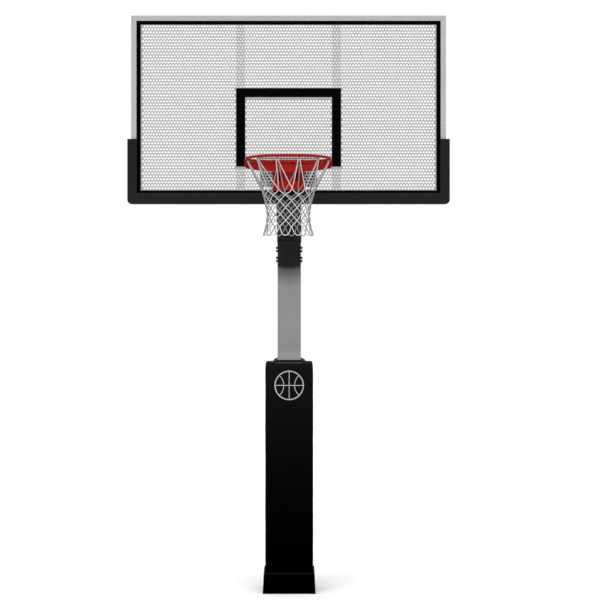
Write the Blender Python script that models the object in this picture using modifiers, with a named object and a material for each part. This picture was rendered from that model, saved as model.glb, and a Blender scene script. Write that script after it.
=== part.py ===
"""Single-post basketball hoop: bolted-down post, cantilever arm, perforated board and breakaway rim.

Metres, +Z up. The origin is the centre of the base plate's underside. The board faces -Y.
"""

import math

import bmesh
import bpy
from mathutils import Matrix, Vector

# Clearance between pieces that touch, and between a bolt and its hole.
GAP = 0.0003
HOLE_FIT = 0.0005

# Shaping: how far a cutting box stands past the solid, how far joined bodies sink into each other.
MARGIN = 0.010
OVERLAP = 0.002
MERGE = 0.00002
FEW_SIDES = 8
SHARP_ANGLE = math.radians(40)

# Post and its base plate: 6 inch square tube on a 12 inch square plate.
POST_WIDTH = 0.1524
POST_HALF = POST_WIDTH / 2
TUBE_WALL = 0.0048
BASE_HALF = 0.150
BASE_THICK = 0.019
POLE_TOP = 2.129
ARM_POST_TOP = 2.460
CAP_THICK = 0.006
CAP_BEVEL = 0.002

# Anchor studs stand up through the base plate.
STUD_RADIUS = 0.012
STUD_SPAN = 0.112
STUD_TOP = 0.066
STUD_FIT = 0.0015
ANCHOR_NUT_ACROSS = 0.036
ANCHOR_NUT_HEIGHT = 0.022

# Splice between the grey pole and the black arm post.
SLEEVE_BOTTOM = 1.970
SLEEVE_TOP = 2.300
SLEEVE_WALL = 0.006
SPLICE_RADIUS = 0.005
SPLICE_ACROSS = 0.016
SPLICE_HEAD = 0.010
SPLICE_TIP = 0.001
SPLICE_DEPTH = 0.038
SPLICE_FRONT_HEIGHTS = (2.249, 2.183)
SPLICE_REAR_HEIGHTS = (2.229, 2.163)

# Backboard: 72 by 42 inches, its front face 1.32 m ahead of the pole's front face.
OVERHANG = 1.320
BOARD_FRONT = -(POST_HALF + OVERHANG)
BOARD_HALF_WIDTH = 0.9144
BOARD_HEIGHT = 1.067
BOARD_BOTTOM = 2.492
BOARD_TOP = BOARD_BOTTOM + BOARD_HEIGHT
RAIL_WIDTH = 0.031
RAIL_DEPTH = 0.038
SHEET_SETBACK = 0.003
SHEET_THICK = 0.003
GROOVE_DEPTH = 0.010
SHEET_FRONT = BOARD_FRONT + SHEET_SETBACK
SHEET_BACK = SHEET_FRONT + SHEET_THICK
RAIL_BACK = BOARD_FRONT + RAIL_DEPTH

# Rear frame of the board: two uprights and two cross tubes between them.
UPRIGHT_WIDTH = 0.050
UPRIGHT_OFFSET = 0.279
CROSS_HEIGHT = 0.050
LOWER_CROSS_Z = 2.702
UPPER_CROSS_Z = 3.113
FRAME_WALL = 0.003

# Cantilever arm and its end flange, which carries the board and the rim.
ARM_REAR_Z = 2.358
ARM_FRONT_Z = 2.651
FLANGE_HALF = 0.165
FLANGE_BOTTOM = 2.568
FLANGE_TOP = 2.736
FLANGE_THICK = 0.016
FLANGE_FRONT = RAIL_BACK + GAP
FLANGE_BACK = FLANGE_FRONT + FLANGE_THICK

# Moulded board pad round the bottom edge and the lower corners.
PAD_BOTTOM = 2.464
PAD_SIDE_TOP = 2.841
PAD_OUT = 0.0215
PAD_SIDE_LIP = 0.0345
PAD_BOTTOM_LIP = 0.038
PAD_FRONT_THICK = 0.015
PAD_BACK_THICK = 0.014
PAD_CORNER = 0.025
PAD_CORNER_STEPS = 4
PAD_EDGE = 0.005

# Rim: 18 inch opening, its centre 15 inches ahead of the board.
ROD_RADIUS = 0.008
RING_RADIUS = 0.2286 + ROD_RADIUS
RING_Y = SHEET_FRONT - 0.384
RING_Z = 2.698
BRACE_RADIUS = RING_RADIUS + 0.0054
BRACE_THICK = 0.005
BRACE_BOTTOM = 2.6400
BRACE_TAPER = 0.0110
BRACE_TOP = RING_Z - ROD_RADIUS - GAP
BRACE_ANGLE = math.radians(92)
BRACE_STEPS = 40
RING_SEGMENTS = 60
ROD_SEGMENTS = 10
HOOK_COUNT = 12
HOOK_WIRE = 0.0024

# Route of a net eye: outward and up from the rod's centre.
HOOK_ROUTE = (
    (-0.0004, -0.0060),
    (-0.0006, -0.0160),
    (-0.0060, -0.0205),
    (-0.0115, -0.0160),
    (-0.0065, -0.0045),
)

# Fixed rim bracket: back plate, two ears, and a shelf with a front wall that box in the springs.
# The wall's raised middle passes up into the moving bracket when the ring turns down.
PLATE_HALF = 0.093
PLATE_BOTTOM = 2.540
PLATE_TOP = 2.7205
PLATE_THICK = 0.008
PLATE_FRONT = SHEET_FRONT - GAP - PLATE_THICK
EAR_INNER = 0.0542
EAR_THICK = 0.006
SHELF_TOP = PLATE_BOTTOM + 0.007
SHELF_REACH = 0.092
SHELF_INSET = 0.001
SEAT_RADIUS = 0.0095
SEAT_HEIGHT = 0.013
SPRING_BOX_TOP = 2.592
SPRING_GUARD_TOP = 2.645
SPRING_GUARD_HALF = 0.0455
EAR_REAR_RISE = 0.030

# Nose of an ear: forward and up from the hinge pin.
EAR_NOSE = ((0.013, -0.020), (0.013, 0.010), (0.007, 0.016))

# Breakaway hinge: pin close in front of the back plate, on the ears.
PIN_Y = PLATE_FRONT - 0.026
PIN_Z = 2.657
PIN_RADIUS = 0.006
PIN_HALF = 0.0665
PIN_BEVEL = 0.001

# Moving rim bracket, a box channel from the hinge to the ring, open behind and under the pin.
BRACKET_HALF = 0.0536
BRACKET_WALL = 0.006
BRACKET_BOTTOM = 2.640
BRACKET_TOP = RING_Z + ROD_RADIUS
BRACKET_NOSE = 0.022
HEEL_SETBACK = 0.009
HEEL_RISE = 0.016
FLOOR_SETBACK = 0.012
FLOOR_REACH = 0.056
CRADLE_SEGMENTS = 96

# Breakaway springs stand on the shelf and push the moving bracket up.
SPRING_OFFSET = 0.026
SPRING_REACH = 0.038
SPRING_RADIUS = 0.0135
SPRING_WIRE = 0.0026
SPRING_TURNS = 6
SPRING_POINTS = 9

# Rim bolts pass the board and screw into the arm flange.
RIM_BOLT_OFFSET = 0.0785
RIM_BOLT_HEIGHTS = (2.635, LOWER_CROSS_Z)
RIM_BOLT_RADIUS = 0.006
RIM_BOLT_ACROSS = 0.019
RIM_BOLT_HEAD = 0.008
RIM_BOLT_SHORT = 0.002
SPACER_RADIUS = 0.0125

# Net: outside radius at heights below the ring.
NET_TOP = 2.671
NET_BOTTOM = 2.263
NET_WALL = 0.005
NET_SEGMENTS = 36
NET_PROFILE = (
    (0.2240, NET_TOP),
    (0.1520, 2.518),
    (0.1300, 2.443),
    (0.1215, 2.382),
    (0.1260, 2.331),
    (0.1450, NET_BOTTOM),
)

# Pole pad, collar and straps.
POLE_PAD_HALF = 0.153
POLE_PAD_BOTTOM = 0.092
POLE_PAD_TOP = 1.501
POLE_PAD_ROUND = 0.012
POLE_PAD_SLIT = 0.004
COLLAR_LOW_HALF = 0.111
COLLAR_TOP_HALF = 0.082
COLLAR_HEIGHT = 0.0255
STRAP_HEIGHTS = (0.420, 0.850, 1.280)
STRAP_LENGTH = 0.180
STRAP_WIDTH = 0.050
STRAP_THICK = 0.004
STRAP_BEVEL = 0.001

# Base skirt: flared shell with a flat top, in a front and a rear half. Half widths at heights.
SKIRT_WALL = 0.004
SKIRT_REACH = 0.5
SKIRT_SECTIONS = (
    (0.1632, 0.1355),
    (0.1654, 0.1325),
    (0.1715, 0.0000),
)

ROUND_SEGMENTS = 16
X_AXIS = Vector((1, 0, 0))
Y_AXIS = Vector((0, 1, 0))
Z_AXIS = Vector((0, 0, 1))


def clear_scene():
    for item in list(bpy.data.objects):
        bpy.data.objects.remove(item, do_unlink=True)


def make_collection(name):
    collection = bpy.data.collections.get(name) or bpy.data.collections.new(name)
    if collection.name not in bpy.context.scene.collection.children:
        bpy.context.scene.collection.children.link(collection)
    return collection


def make_material(name, colour, roughness, metallic=0.0):
    material = bpy.data.materials.new(name)
    material.use_nodes = True
    shader = material.node_tree.nodes["Principled BSDF"]
    shader.inputs["Base Color"].default_value = (*colour, 1.0)
    shader.inputs["Roughness"].default_value = roughness
    shader.inputs["Metallic"].default_value = metallic
    return material


def add_part(name, mesh, material, location=(0, 0, 0)):
    """Link a mesh as a named part with its own copy of the material."""
    part = bpy.data.objects.new(name, mesh)
    part.location = location
    PARTS.objects.link(part)
    if not mesh.materials:
        mesh.materials.append(material.copy())
        mesh.materials[0].name = name + "_finish"
    return part


def mesh_from(bm, name):
    mesh = bpy.data.meshes.new(name)
    bm.to_mesh(mesh)
    bm.free()
    return mesh


def box_mesh(name, low, high):
    low = Vector(low)
    high = Vector(high)
    bm = bmesh.new()
    bmesh.ops.create_cube(bm, size=1.0)
    bmesh.ops.scale(bm, verts=bm.verts, vec=high - low)
    bmesh.ops.translate(bm, verts=bm.verts, vec=(low + high) / 2)
    return mesh_from(bm, name)


def prism_mesh(name, start, direction, length, radius, segments):
    """A straight prism with many sides, or few for a hexagon."""
    bm = bmesh.new()
    bmesh.ops.create_cone(bm, cap_ends=True, segments=segments,
                          radius1=radius, radius2=radius, depth=length)
    bmesh.ops.translate(bm, verts=bm.verts, vec=(0, 0, length / 2))
    turn = Z_AXIS.rotation_difference(Vector(direction)).to_matrix().to_4x4()
    bmesh.ops.transform(bm, verts=bm.verts, matrix=Matrix.Translation(start) @ turn)
    mesh = mesh_from(bm, name)
    if segments > FEW_SIDES:
        mesh.shade_smooth()
        mesh.set_sharp_from_angle(angle=SHARP_ANGLE)
    return mesh


def box(name, low, high, material):
    return add_part(name, box_mesh(name, low, high), material)


def tool(mesh):
    """Keep a mesh as a hidden operand for a Boolean."""
    item = bpy.data.objects.new(mesh.name, mesh)
    item.display_type = "WIRE"
    item.hide_render = True
    TOOLS.objects.link(item)
    return item


def combine(part, mesh, operation):
    modifier = part.modifiers.new(operation.title(), "BOOLEAN")
    modifier.operation = operation
    modifier.solver = "EXACT"
    modifier.object = tool(mesh)


def cut_box(part, low, high):
    combine(part, box_mesh(part.name + "_cut", low, high), "DIFFERENCE")


def cut_hole(part, start, direction, length, radius):
    mesh = prism_mesh(part.name + "_hole", start, direction, length, radius, ROUND_SEGMENTS)
    combine(part, mesh, "DIFFERENCE")


def bevel(part, width, segments=2, angle=40):
    modifier = part.modifiers.new("Bevel", "BEVEL")
    modifier.width = width
    modifier.segments = segments
    modifier.limit_method = "ANGLE"
    modifier.angle_limit = math.radians(angle)


def frozen(source, name):
    """The evaluated shape of an object as a welded mesh in world space; the object goes."""
    bpy.context.view_layer.update()
    evaluated = source.evaluated_get(bpy.context.evaluated_depsgraph_get())
    mesh = bpy.data.meshes.new_from_object(evaluated)
    mesh.name = name
    mesh.transform(source.matrix_world)
    bm = bmesh.new()
    bm.from_mesh(mesh)
    bmesh.ops.remove_doubles(bm, verts=bm.verts, dist=MERGE)
    bm.to_mesh(mesh)
    bm.free()
    bpy.data.objects.remove(source, do_unlink=True)
    return mesh


def wire_curve(name, routes, radius, resolution):
    """One curve object with a straight-pointed spline for each route."""
    curve = bpy.data.curves.new(name, "CURVE")
    curve.dimensions = "3D"
    curve.bevel_depth = radius
    curve.bevel_resolution = resolution
    curve.use_fill_caps = True
    for route in routes:
        spline = curve.splines.new("POLY")
        spline.points.add(len(route) - 1)
        for point, place in zip(spline.points, route):
            point.co = (*place, 1.0)
    item = bpy.data.objects.new(name, curve)
    TOOLS.objects.link(item)
    return item


def outline_mesh(name, outline, thickness, placement):
    """A flat plate from an outline in its own plane, set in place by a matrix."""
    curve = bpy.data.curves.new(name, "CURVE")
    curve.dimensions = "2D"
    curve.fill_mode = "BOTH"
    curve.extrude = thickness / 2
    spline = curve.splines.new("POLY")
    spline.points.add(len(outline) - 1)
    for point, place in zip(spline.points, outline):
        point.co = (*place, 0.0, 1.0)
    spline.use_cyclic_u = True
    item = bpy.data.objects.new(name, curve)
    item.matrix_world = placement
    TOOLS.objects.link(item)
    return frozen(item, name)


def turned(name, profile, steps, material, turn=0.0):
    """A closed profile at +X, turned about Z."""
    bm = bmesh.new()
    points = [bm.verts.new((radius, 0.0, height)) for radius, height in profile]
    for first, second in zip(points, points[1:] + points[:1]):
        bm.edges.new((first, second))
    part = add_part(name, mesh_from(bm, name), material)
    part.rotation_euler.z = turn
    screw = part.modifiers.new("Screw", "SCREW")
    screw.steps = steps
    screw.render_steps = steps
    screw.use_merge_vertices = True
    screw.merge_threshold = MERGE
    screw.use_smooth_shade = steps > FEW_SIDES
    return part


def square_tube(name, low, high, wall, material):
    """Upright square or oblong tube, open at both ends."""
    part = box(name, low, high, material)
    inner_low = (low[0] + wall, low[1] + wall, low[2] - MARGIN)
    inner_high = (high[0] - wall, high[1] - wall, high[2] + MARGIN)
    cut_box(part, inner_low, inner_high)
    return part


# ---- base ----

def stud_places():
    return [(x, y) for x in (-STUD_SPAN, STUD_SPAN) for y in (-STUD_SPAN, STUD_SPAN)]


def build_base():
    plate = box("base_plate", (-BASE_HALF, -BASE_HALF, 0), (BASE_HALF, BASE_HALF, BASE_THICK), STEEL)
    for x, y in stud_places():
        cut_hole(plate, (x, y, -MARGIN), Z_AXIS, BASE_THICK + 2 * MARGIN, STUD_RADIUS + STUD_FIT)
    nut_source = add_part("anchor_nut_source", prism_mesh(
        "nut", (0, 0, 0), Z_AXIS, ANCHOR_NUT_HEIGHT, ANCHOR_NUT_ACROSS / math.sqrt(3), 6), ZINC)
    cut_hole(nut_source, (0, 0, -MARGIN), Z_AXIS, ANCHOR_NUT_HEIGHT + 2 * MARGIN, STUD_RADIUS + GAP)
    nut_mesh = frozen(nut_source, "anchor_nut")
    for number, (x, y) in enumerate(stud_places(), 1):
        stud = prism_mesh("anchor_stud", (0, 0, 0), Z_AXIS, STUD_TOP, STUD_RADIUS, ROUND_SEGMENTS)
        add_part(f"anchor_stud_{number}", stud, ZINC, (x, y, 0))
        add_part(f"anchor_nut_{number}", nut_mesh, ZINC, (x, y, BASE_THICK + GAP))


def build_skirt():
    """Two shells that meet at y = 0, open below, their flat tops closed up to the pole pad."""
    snug = POLE_PAD_HALF + 2 * GAP
    top = SKIRT_SECTIONS[0][1]
    shoulder, foot = SKIRT_SECTIONS[1][0] - SKIRT_WALL, SKIRT_SECTIONS[2][0] - SKIRT_WALL
    inside = [(foot, 0.0), (shoulder, top - SKIRT_WALL), (snug, top - SKIRT_WALL), (snug, top)]
    profile = [(half * math.sqrt(2), height) for half, height in list(SKIRT_SECTIONS) + inside]
    reach = SKIRT_REACH
    for name, low, high in (("skirt_front", -GAP / 2, reach), ("skirt_rear", -reach, GAP / 2)):
        shell = turned(name, profile, 4, BLACK_PLASTIC, math.pi / 4)
        cut_box(shell, (-reach, low, -MARGIN), (reach, high, reach))


# ---- pole and arm ----

def hex_bolt_mesh(name, across, head, radius, length):
    """Head below Z=0, shank up from it."""
    bolt = add_part(name + "_source", prism_mesh(
        name, (0, 0, -head), Z_AXIS, head, across / math.sqrt(3), 6), ZINC)
    shank = prism_mesh(name + "_shank", (0, 0, -head / 2), Z_AXIS,
                       length + head / 2, radius, ROUND_SEGMENTS)
    combine(bolt, shank, "UNION")
    return frozen(bolt, name)


def build_pole():
    square_tube("pole", (-POST_HALF, -POST_HALF, BASE_THICK + GAP),
                (POST_HALF, POST_HALF, POLE_TOP), TUBE_WALL, GREY_STEEL)
    inside = POST_HALF - TUBE_WALL - GAP
    sleeve = square_tube("splice_sleeve", (-inside, -inside, SLEEVE_BOTTOM),
                         (inside, inside, SLEEVE_TOP), SLEEVE_WALL, STEEL)
    arm_post = square_tube("arm_post", (-POST_HALF, -POST_HALF, POLE_TOP + GAP),
                           (POST_HALF, POST_HALF, ARM_POST_TOP), TUBE_WALL, BLACK_STEEL)
    places = [(-SPLICE_DEPTH, height) for height in SPLICE_FRONT_HEIGHTS]
    places += [(SPLICE_DEPTH, height) for height in SPLICE_REAR_HEIGHTS]
    for y, z in places:
        cut_hole(arm_post, (-POST_WIDTH, y, z), X_AXIS, 2 * POST_WIDTH, SPLICE_RADIUS + HOLE_FIT)
        cut_hole(sleeve, (-POST_WIDTH, y, z), X_AXIS, 2 * POST_WIDTH, SPLICE_RADIUS + 2 * HOLE_FIT)
    length = POST_WIDTH + 2 * GAP + SPLICE_HEAD + SPLICE_TIP
    bolt_mesh = hex_bolt_mesh("splice_bolt", SPLICE_ACROSS, SPLICE_HEAD, SPLICE_RADIUS, length)
    nut_source = add_part("splice_nut_source", prism_mesh(
        "nut", (0, 0, 0), Z_AXIS, SPLICE_HEAD, SPLICE_ACROSS / math.sqrt(3), 6), ZINC)
    cut_hole(nut_source, (0, 0, -MARGIN), Z_AXIS, SPLICE_HEAD + 2 * MARGIN, SPLICE_RADIUS + GAP)
    nut_mesh = frozen(nut_source, "splice_nut")
    for number, (y, z) in enumerate(places, 1):
        bolt = add_part(f"splice_bolt_{number}", bolt_mesh, ZINC, (-POST_HALF - GAP, y, z))
        bolt.rotation_euler.y = math.pi / 2
        nut = add_part(f"splice_nut_{number}", nut_mesh, ZINC, (POST_HALF + GAP, y, z))
        nut.rotation_euler.y = math.pi / 2
    cap = box("post_cap", (-POST_HALF, -POST_HALF, ARM_POST_TOP + GAP),
              (POST_HALF, POST_HALF, ARM_POST_TOP + GAP + CAP_THICK), BLACK_STEEL)
    bevel(cap, CAP_BEVEL, 1)


def sloping_box(name, half_width, half_height, rear, front):
    """A box between two upright end planes; its middle climbs from the rear to the front."""
    mesh = box_mesh(name, (-half_width, front, -half_height), (half_width, rear, half_height))
    run = -(POST_HALF + GAP) - (FLANGE_BACK + GAP)
    slope = (ARM_FRONT_Z - ARM_REAR_Z) / -run
    for vertex in mesh.vertices:
        vertex.co.z += ARM_REAR_Z + slope * (vertex.co.y + POST_HALF)
    return mesh


def build_arm():
    rear = -(POST_HALF + GAP)
    front = FLANGE_BACK + GAP
    rise = math.atan2(ARM_FRONT_Z - ARM_REAR_Z, rear - front)
    half_height = POST_HALF / math.cos(rise)
    arm = add_part("arm_tube", sloping_box("arm_tube", POST_HALF, half_height, rear, front), BLACK_STEEL)
    hollow = sloping_box("arm_hollow", POST_HALF - TUBE_WALL, half_height - TUBE_WALL,
                         rear + MARGIN, front - MARGIN)
    combine(arm, hollow, "DIFFERENCE")
    flange = box("arm_flange", (-FLANGE_HALF, FLANGE_FRONT, FLANGE_BOTTOM),
                 (FLANGE_HALF, FLANGE_BACK, FLANGE_TOP), BLACK_STEEL)
    for x, z in rim_bolt_places():
        cut_hole(flange, (x, FLANGE_FRONT - MARGIN, z), Y_AXIS, FLANGE_THICK + 2 * MARGIN,
                 RIM_BOLT_RADIUS + GAP)


# ---- board ----

def mitred_rail(name, length, inner_cut):
    """A rail along X with its outer side down, cut back 45 degrees at both ends."""
    mesh = box_mesh(name, (-length / 2, BOARD_FRONT, 0), (length / 2, RAIL_BACK, RAIL_WIDTH))
    for vertex in mesh.vertices:
        vertex.co.x -= math.copysign(GAP, vertex.co.x)
        if vertex.co.z > RAIL_WIDTH / 2:
            vertex.co.x -= math.copysign(inner_cut, vertex.co.x)
    return mesh


def build_board_frame():
    width = 2 * BOARD_HALF_WIDTH
    centre_z = (BOARD_BOTTOM + BOARD_TOP) / 2
    rails = (
        ("board_rail_bottom", width, 0.0),
        ("board_rail_left", BOARD_HEIGHT, 0.5 * math.pi),
        ("board_rail_top", width, math.pi),
        ("board_rail_right", BOARD_HEIGHT, 1.5 * math.pi),
    )
    for name, length, turn in rails:
        across = BOARD_HEIGHT if length == width else width
        mesh = mitred_rail(name, length, RAIL_WIDTH)
        place = Matrix.Translation((0, 0, centre_z)) @ Matrix.Rotation(turn, 4, "Y")
        place = place @ Matrix.Translation((0, 0, -across / 2))
        mesh.transform(place)
        rail = add_part(name, mesh, LIGHT_METAL)
        groove_low = (-length, SHEET_FRONT - GAP, RAIL_WIDTH - GROOVE_DEPTH)
        groove_high = (length, SHEET_BACK + GAP, RAIL_WIDTH + MARGIN)
        groove = box_mesh(name + "_groove", groove_low, groove_high)
        groove.transform(place)
        combine(rail, groove, "DIFFERENCE")


def build_panel():
    inset = RAIL_WIDTH - GROOVE_DEPTH + GAP
    panel = box("perforated_panel", (-BOARD_HALF_WIDTH + inset, SHEET_FRONT, BOARD_BOTTOM + inset),
                (BOARD_HALF_WIDTH - inset, SHEET_BACK, BOARD_TOP - inset), LIGHT_METAL)
    for x, z in rim_bolt_places():
        cut_hole(panel, (x, SHEET_FRONT - MARGIN, z), Y_AXIS, SHEET_THICK + 2 * MARGIN,
                 RIM_BOLT_RADIUS + HOLE_FIT)


def build_rear_frame():
    front = SHEET_BACK + GAP
    low_z = BOARD_BOTTOM + RAIL_WIDTH + GAP
    high_z = BOARD_TOP - RAIL_WIDTH - GAP
    for side, x in (("left", -UPRIGHT_OFFSET), ("right", UPRIGHT_OFFSET)):
        square_tube(f"rear_upright_{side}", (x - UPRIGHT_WIDTH / 2, front, low_z),
                    (x + UPRIGHT_WIDTH / 2, RAIL_BACK, high_z), FRAME_WALL, LIGHT_METAL)
    reach = UPRIGHT_OFFSET - UPRIGHT_WIDTH / 2 - GAP
    for name, z in (("rear_cross_lower", LOWER_CROSS_Z), ("rear_cross_upper", UPPER_CROSS_Z)):
        half = CROSS_HEIGHT / 2
        cross = box(name, (-reach, front, z - half), (reach, RAIL_BACK, z + half), LIGHT_METAL)
        cut_box(cross, (-reach - MARGIN, front + FRAME_WALL, z - half + FRAME_WALL),
                (reach + MARGIN, RAIL_BACK - FRAME_WALL, z + half - FRAME_WALL))
        if z == LOWER_CROSS_Z:
            for x in (-RIM_BOLT_OFFSET, RIM_BOLT_OFFSET):
                cut_hole(cross, (x, front - MARGIN, z), Y_AXIS, RAIL_DEPTH + 2 * MARGIN,
                         RIM_BOLT_RADIUS + HOLE_FIT)


def build_board_pad():
    """A U of moulded foam that hugs the lower edge and the lower corners of the board."""
    half = BOARD_HALF_WIDTH + PAD_OUT
    front = BOARD_FRONT - PAD_FRONT_THICK
    back = RAIL_BACK + PAD_BACK_THICK
    corner_points = []
    for step in range(PAD_CORNER_STEPS + 1):
        angle = math.pi / 2 * step / PAD_CORNER_STEPS
        corner_points.append((half - PAD_CORNER + PAD_CORNER * math.sin(angle),
                              PAD_BOTTOM + PAD_CORNER - PAD_CORNER * math.cos(angle)))
    outline = corner_points + [(half, PAD_SIDE_TOP), (-half, PAD_SIDE_TOP)]
    outline += [(-x, z) for x, z in reversed(corner_points)]
    stand = Matrix.Translation((0, (front + back) / 2, 0)) @ Matrix.Rotation(math.pi / 2, 4, "X")
    pad = add_part("board_pad", outline_mesh("board_pad", outline, back - front, stand), BLACK_FOAM)
    bevel(pad, PAD_EDGE, 2, 60)
    window_x = BOARD_HALF_WIDTH - PAD_SIDE_LIP
    cut_box(pad, (-window_x, front - MARGIN, BOARD_BOTTOM + PAD_BOTTOM_LIP),
            (window_x, back + MARGIN, PAD_SIDE_TOP + MARGIN))
    snug = BOARD_HALF_WIDTH + GAP
    cut_box(pad, (-snug, BOARD_FRONT - GAP, BOARD_BOTTOM - GAP),
            (snug, RAIL_BACK + GAP, PAD_SIDE_TOP + MARGIN))


# ---- rim ----

def rim_bolt_places():
    return [(x, z) for x in (-RIM_BOLT_OFFSET, RIM_BOLT_OFFSET) for z in RIM_BOLT_HEIGHTS]


def ear_outline():
    """Side view of an ear: forward distance from the board along x, height along y."""
    rear = -PLATE_FRONT - OVERLAP
    foot = -PLATE_FRONT + SHELF_REACH
    nose = [(-PIN_Y + forward, PIN_Z + up) for forward, up in EAR_NOSE]
    sole = [(rear, PLATE_BOTTOM), (foot, PLATE_BOTTOM), (foot, SPRING_BOX_TOP)]
    return sole + nose + [(rear, PIN_Z + EAR_REAR_RISE)]


def wall_outline(half, bottom):
    """Front view of the spring box's wall: low at its sides, higher in the middle."""
    shoulder = SPRING_BOX_TOP - SHELF_INSET
    right = [(half, bottom), (half, shoulder), (SPRING_GUARD_HALF, shoulder),
             (SPRING_GUARD_HALF, SPRING_GUARD_TOP)]
    return right + [(-x, z) for x, z in reversed(right)]


def build_fixed_bracket():
    plate = box("rim_back_plate", (-PLATE_HALF, PLATE_FRONT, PLATE_BOTTOM),
                (PLATE_HALF, PLATE_FRONT + PLATE_THICK, PLATE_TOP), RED_STEEL)
    for side in (-1, 1):
        middle = side * (EAR_INNER + EAR_THICK / 2)
        upright = Matrix(((0, 0, 1, middle), (-1, 0, 0, 0), (0, 1, 0, 0), (0, 0, 0, 1)))
        combine(plate, outline_mesh("ear", ear_outline(), EAR_THICK, upright), "UNION")
    reach = EAR_INNER + EAR_THICK / 2
    shelf_low = (-reach, PLATE_FRONT - SHELF_REACH + SHELF_INSET, PLATE_BOTTOM + SHELF_INSET)
    shelf = box_mesh("shelf", shelf_low, (reach, PLATE_FRONT + OVERLAP, SHELF_TOP))
    combine(plate, shelf, "UNION")
    combine(plate, outline_mesh("wall", wall_outline(reach, shelf_low[2]), EAR_THICK,
                                Matrix(((1, 0, 0, 0), (0, 0, -1, shelf_low[1] + EAR_THICK / 2),
                                        (0, 1, 0, 0), (0, 0, 0, 1)))), "UNION")
    for x in (-SPRING_OFFSET, SPRING_OFFSET):
        seat = prism_mesh("seat", (x, PIN_Y - SPRING_REACH, SHELF_TOP - OVERLAP), Z_AXIS,
                          SEAT_HEIGHT, SEAT_RADIUS, ROUND_SEGMENTS)
        combine(plate, seat, "UNION")
    for x, z in rim_bolt_places():
        cut_hole(plate, (x, PLATE_FRONT - MARGIN, z), Y_AXIS, PLATE_THICK + 2 * MARGIN,
                 RIM_BOLT_RADIUS + HOLE_FIT)
    cut_hole(plate, (-2 * PIN_HALF, PIN_Y, PIN_Z), X_AXIS, 4 * PIN_HALF, PIN_RADIUS + GAP)


def build_rim_fasteners():
    length = FLANGE_BACK - PLATE_FRONT - RIM_BOLT_SHORT
    bolt_mesh = hex_bolt_mesh("rim_bolt", RIM_BOLT_ACROSS, RIM_BOLT_HEAD, RIM_BOLT_RADIUS, length)
    for number, (x, z) in enumerate(rim_bolt_places(), 1):
        bolt = add_part(f"rim_bolt_{number}", bolt_mesh, BLACK_BOLT, (x, PLATE_FRONT - GAP, z))
        bolt.rotation_euler.x = -math.pi / 2
    start = SHEET_BACK + GAP
    for side, x in (("left", -RIM_BOLT_OFFSET), ("right", RIM_BOLT_OFFSET)):
        mesh = prism_mesh("spacer", (x, start, RIM_BOLT_HEIGHTS[0]), Y_AXIS,
                          RAIL_BACK - start, SPACER_RADIUS, ROUND_SEGMENTS)
        spacer = add_part(f"rim_spacer_{side}", mesh, ZINC)
        cut_hole(spacer, (x, start - MARGIN, RIM_BOLT_HEIGHTS[0]), Y_AXIS, RAIL_DEPTH + 2 * MARGIN,
                 RIM_BOLT_RADIUS + HOLE_FIT)
    pin = prism_mesh("hinge_pin", (-PIN_HALF, 0, 0), X_AXIS, 2 * PIN_HALF, PIN_RADIUS, ROUND_SEGMENTS)
    pin_part = add_part("hinge_pin", pin, ZINC, (0, PIN_Y, PIN_Z))
    bevel(pin_part, PIN_BEVEL, 1, 60)


def build_springs():
    bottom = SHELF_TOP + GAP + SPRING_WIRE
    top = BRACKET_BOTTOM - GAP - SPRING_WIRE
    steps = SPRING_TURNS * SPRING_POINTS
    for side, x in (("left", -SPRING_OFFSET), ("right", SPRING_OFFSET)):
        route = []
        for step in range(steps + 1):
            share = step / steps
            angle = 2 * math.pi * SPRING_TURNS * share
            route.append((x + SPRING_RADIUS * math.cos(angle),
                          PIN_Y - SPRING_REACH + SPRING_RADIUS * math.sin(angle),
                          bottom + (top - bottom) * share))
        coil = wire_curve(f"spring_{side}_route", [route], SPRING_WIRE, 2)
        spring = add_part(f"rim_spring_{side}", frozen(coil, "spring"), ZINC)
        spring.data.shade_smooth()


def ring_point(radius, angle):
    """A point on a circle about the ring's centre; angle 0 looks at the board."""
    return radius * math.sin(angle), RING_Y + radius * math.cos(angle)


def hook_route(angle):
    """A small closed eye under the rod, in the plane that looks at the ring's centre."""
    route = []
    for outward, up in HOOK_ROUTE:
        x, y = ring_point(RING_RADIUS + outward, angle)
        route.append((x, y, RING_Z + up))
    return route


def build_ring():
    bpy.ops.mesh.primitive_torus_add(major_radius=RING_RADIUS, minor_radius=ROD_RADIUS,
                                     major_segments=RING_SEGMENTS, minor_segments=ROD_SEGMENTS)
    source = bpy.context.active_object
    mesh = source.data
    bpy.data.objects.remove(source, do_unlink=True)
    mesh.shade_smooth()
    ring = add_part("ring_rod", mesh, RED_STEEL, (0, RING_Y, RING_Z))
    step = 2 * math.pi / HOOK_COUNT
    routes = [hook_route((number + 0.5) * step) for number in range(HOOK_COUNT)]
    combine(ring, frozen(wire_curve("hooks", routes, HOOK_WIRE, 1), "hooks"), "UNION")


def build_ring_brace():
    """A bar on edge, rolled to follow the rear half of the ring below the rod, shallower at its ends."""
    bm = bmesh.new()
    low = []
    high = []
    for step in range(BRACE_STEPS + 1):
        angle = BRACE_ANGLE * (1 - 2 * step / BRACE_STEPS)
        place = ring_point(BRACE_RADIUS, angle)
        bottom = BRACE_BOTTOM + BRACE_TAPER * (1 - math.cos(angle))
        low.append(bm.verts.new((*place, bottom)))
        high.append(bm.verts.new((*place, BRACE_TOP)))
    for step in range(BRACE_STEPS):
        bm.faces.new((low[step], low[step + 1], high[step + 1], high[step]))
    bmesh.ops.recalc_face_normals(bm, faces=bm.faces)
    brace = add_part("ring_brace", mesh_from(bm, "ring_brace"), RED_STEEL)
    brace.data.shade_smooth()
    solidify = brace.modifiers.new("Solidify", "SOLIDIFY")
    solidify.thickness = BRACE_THICK
    solidify.offset = 0.0


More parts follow.
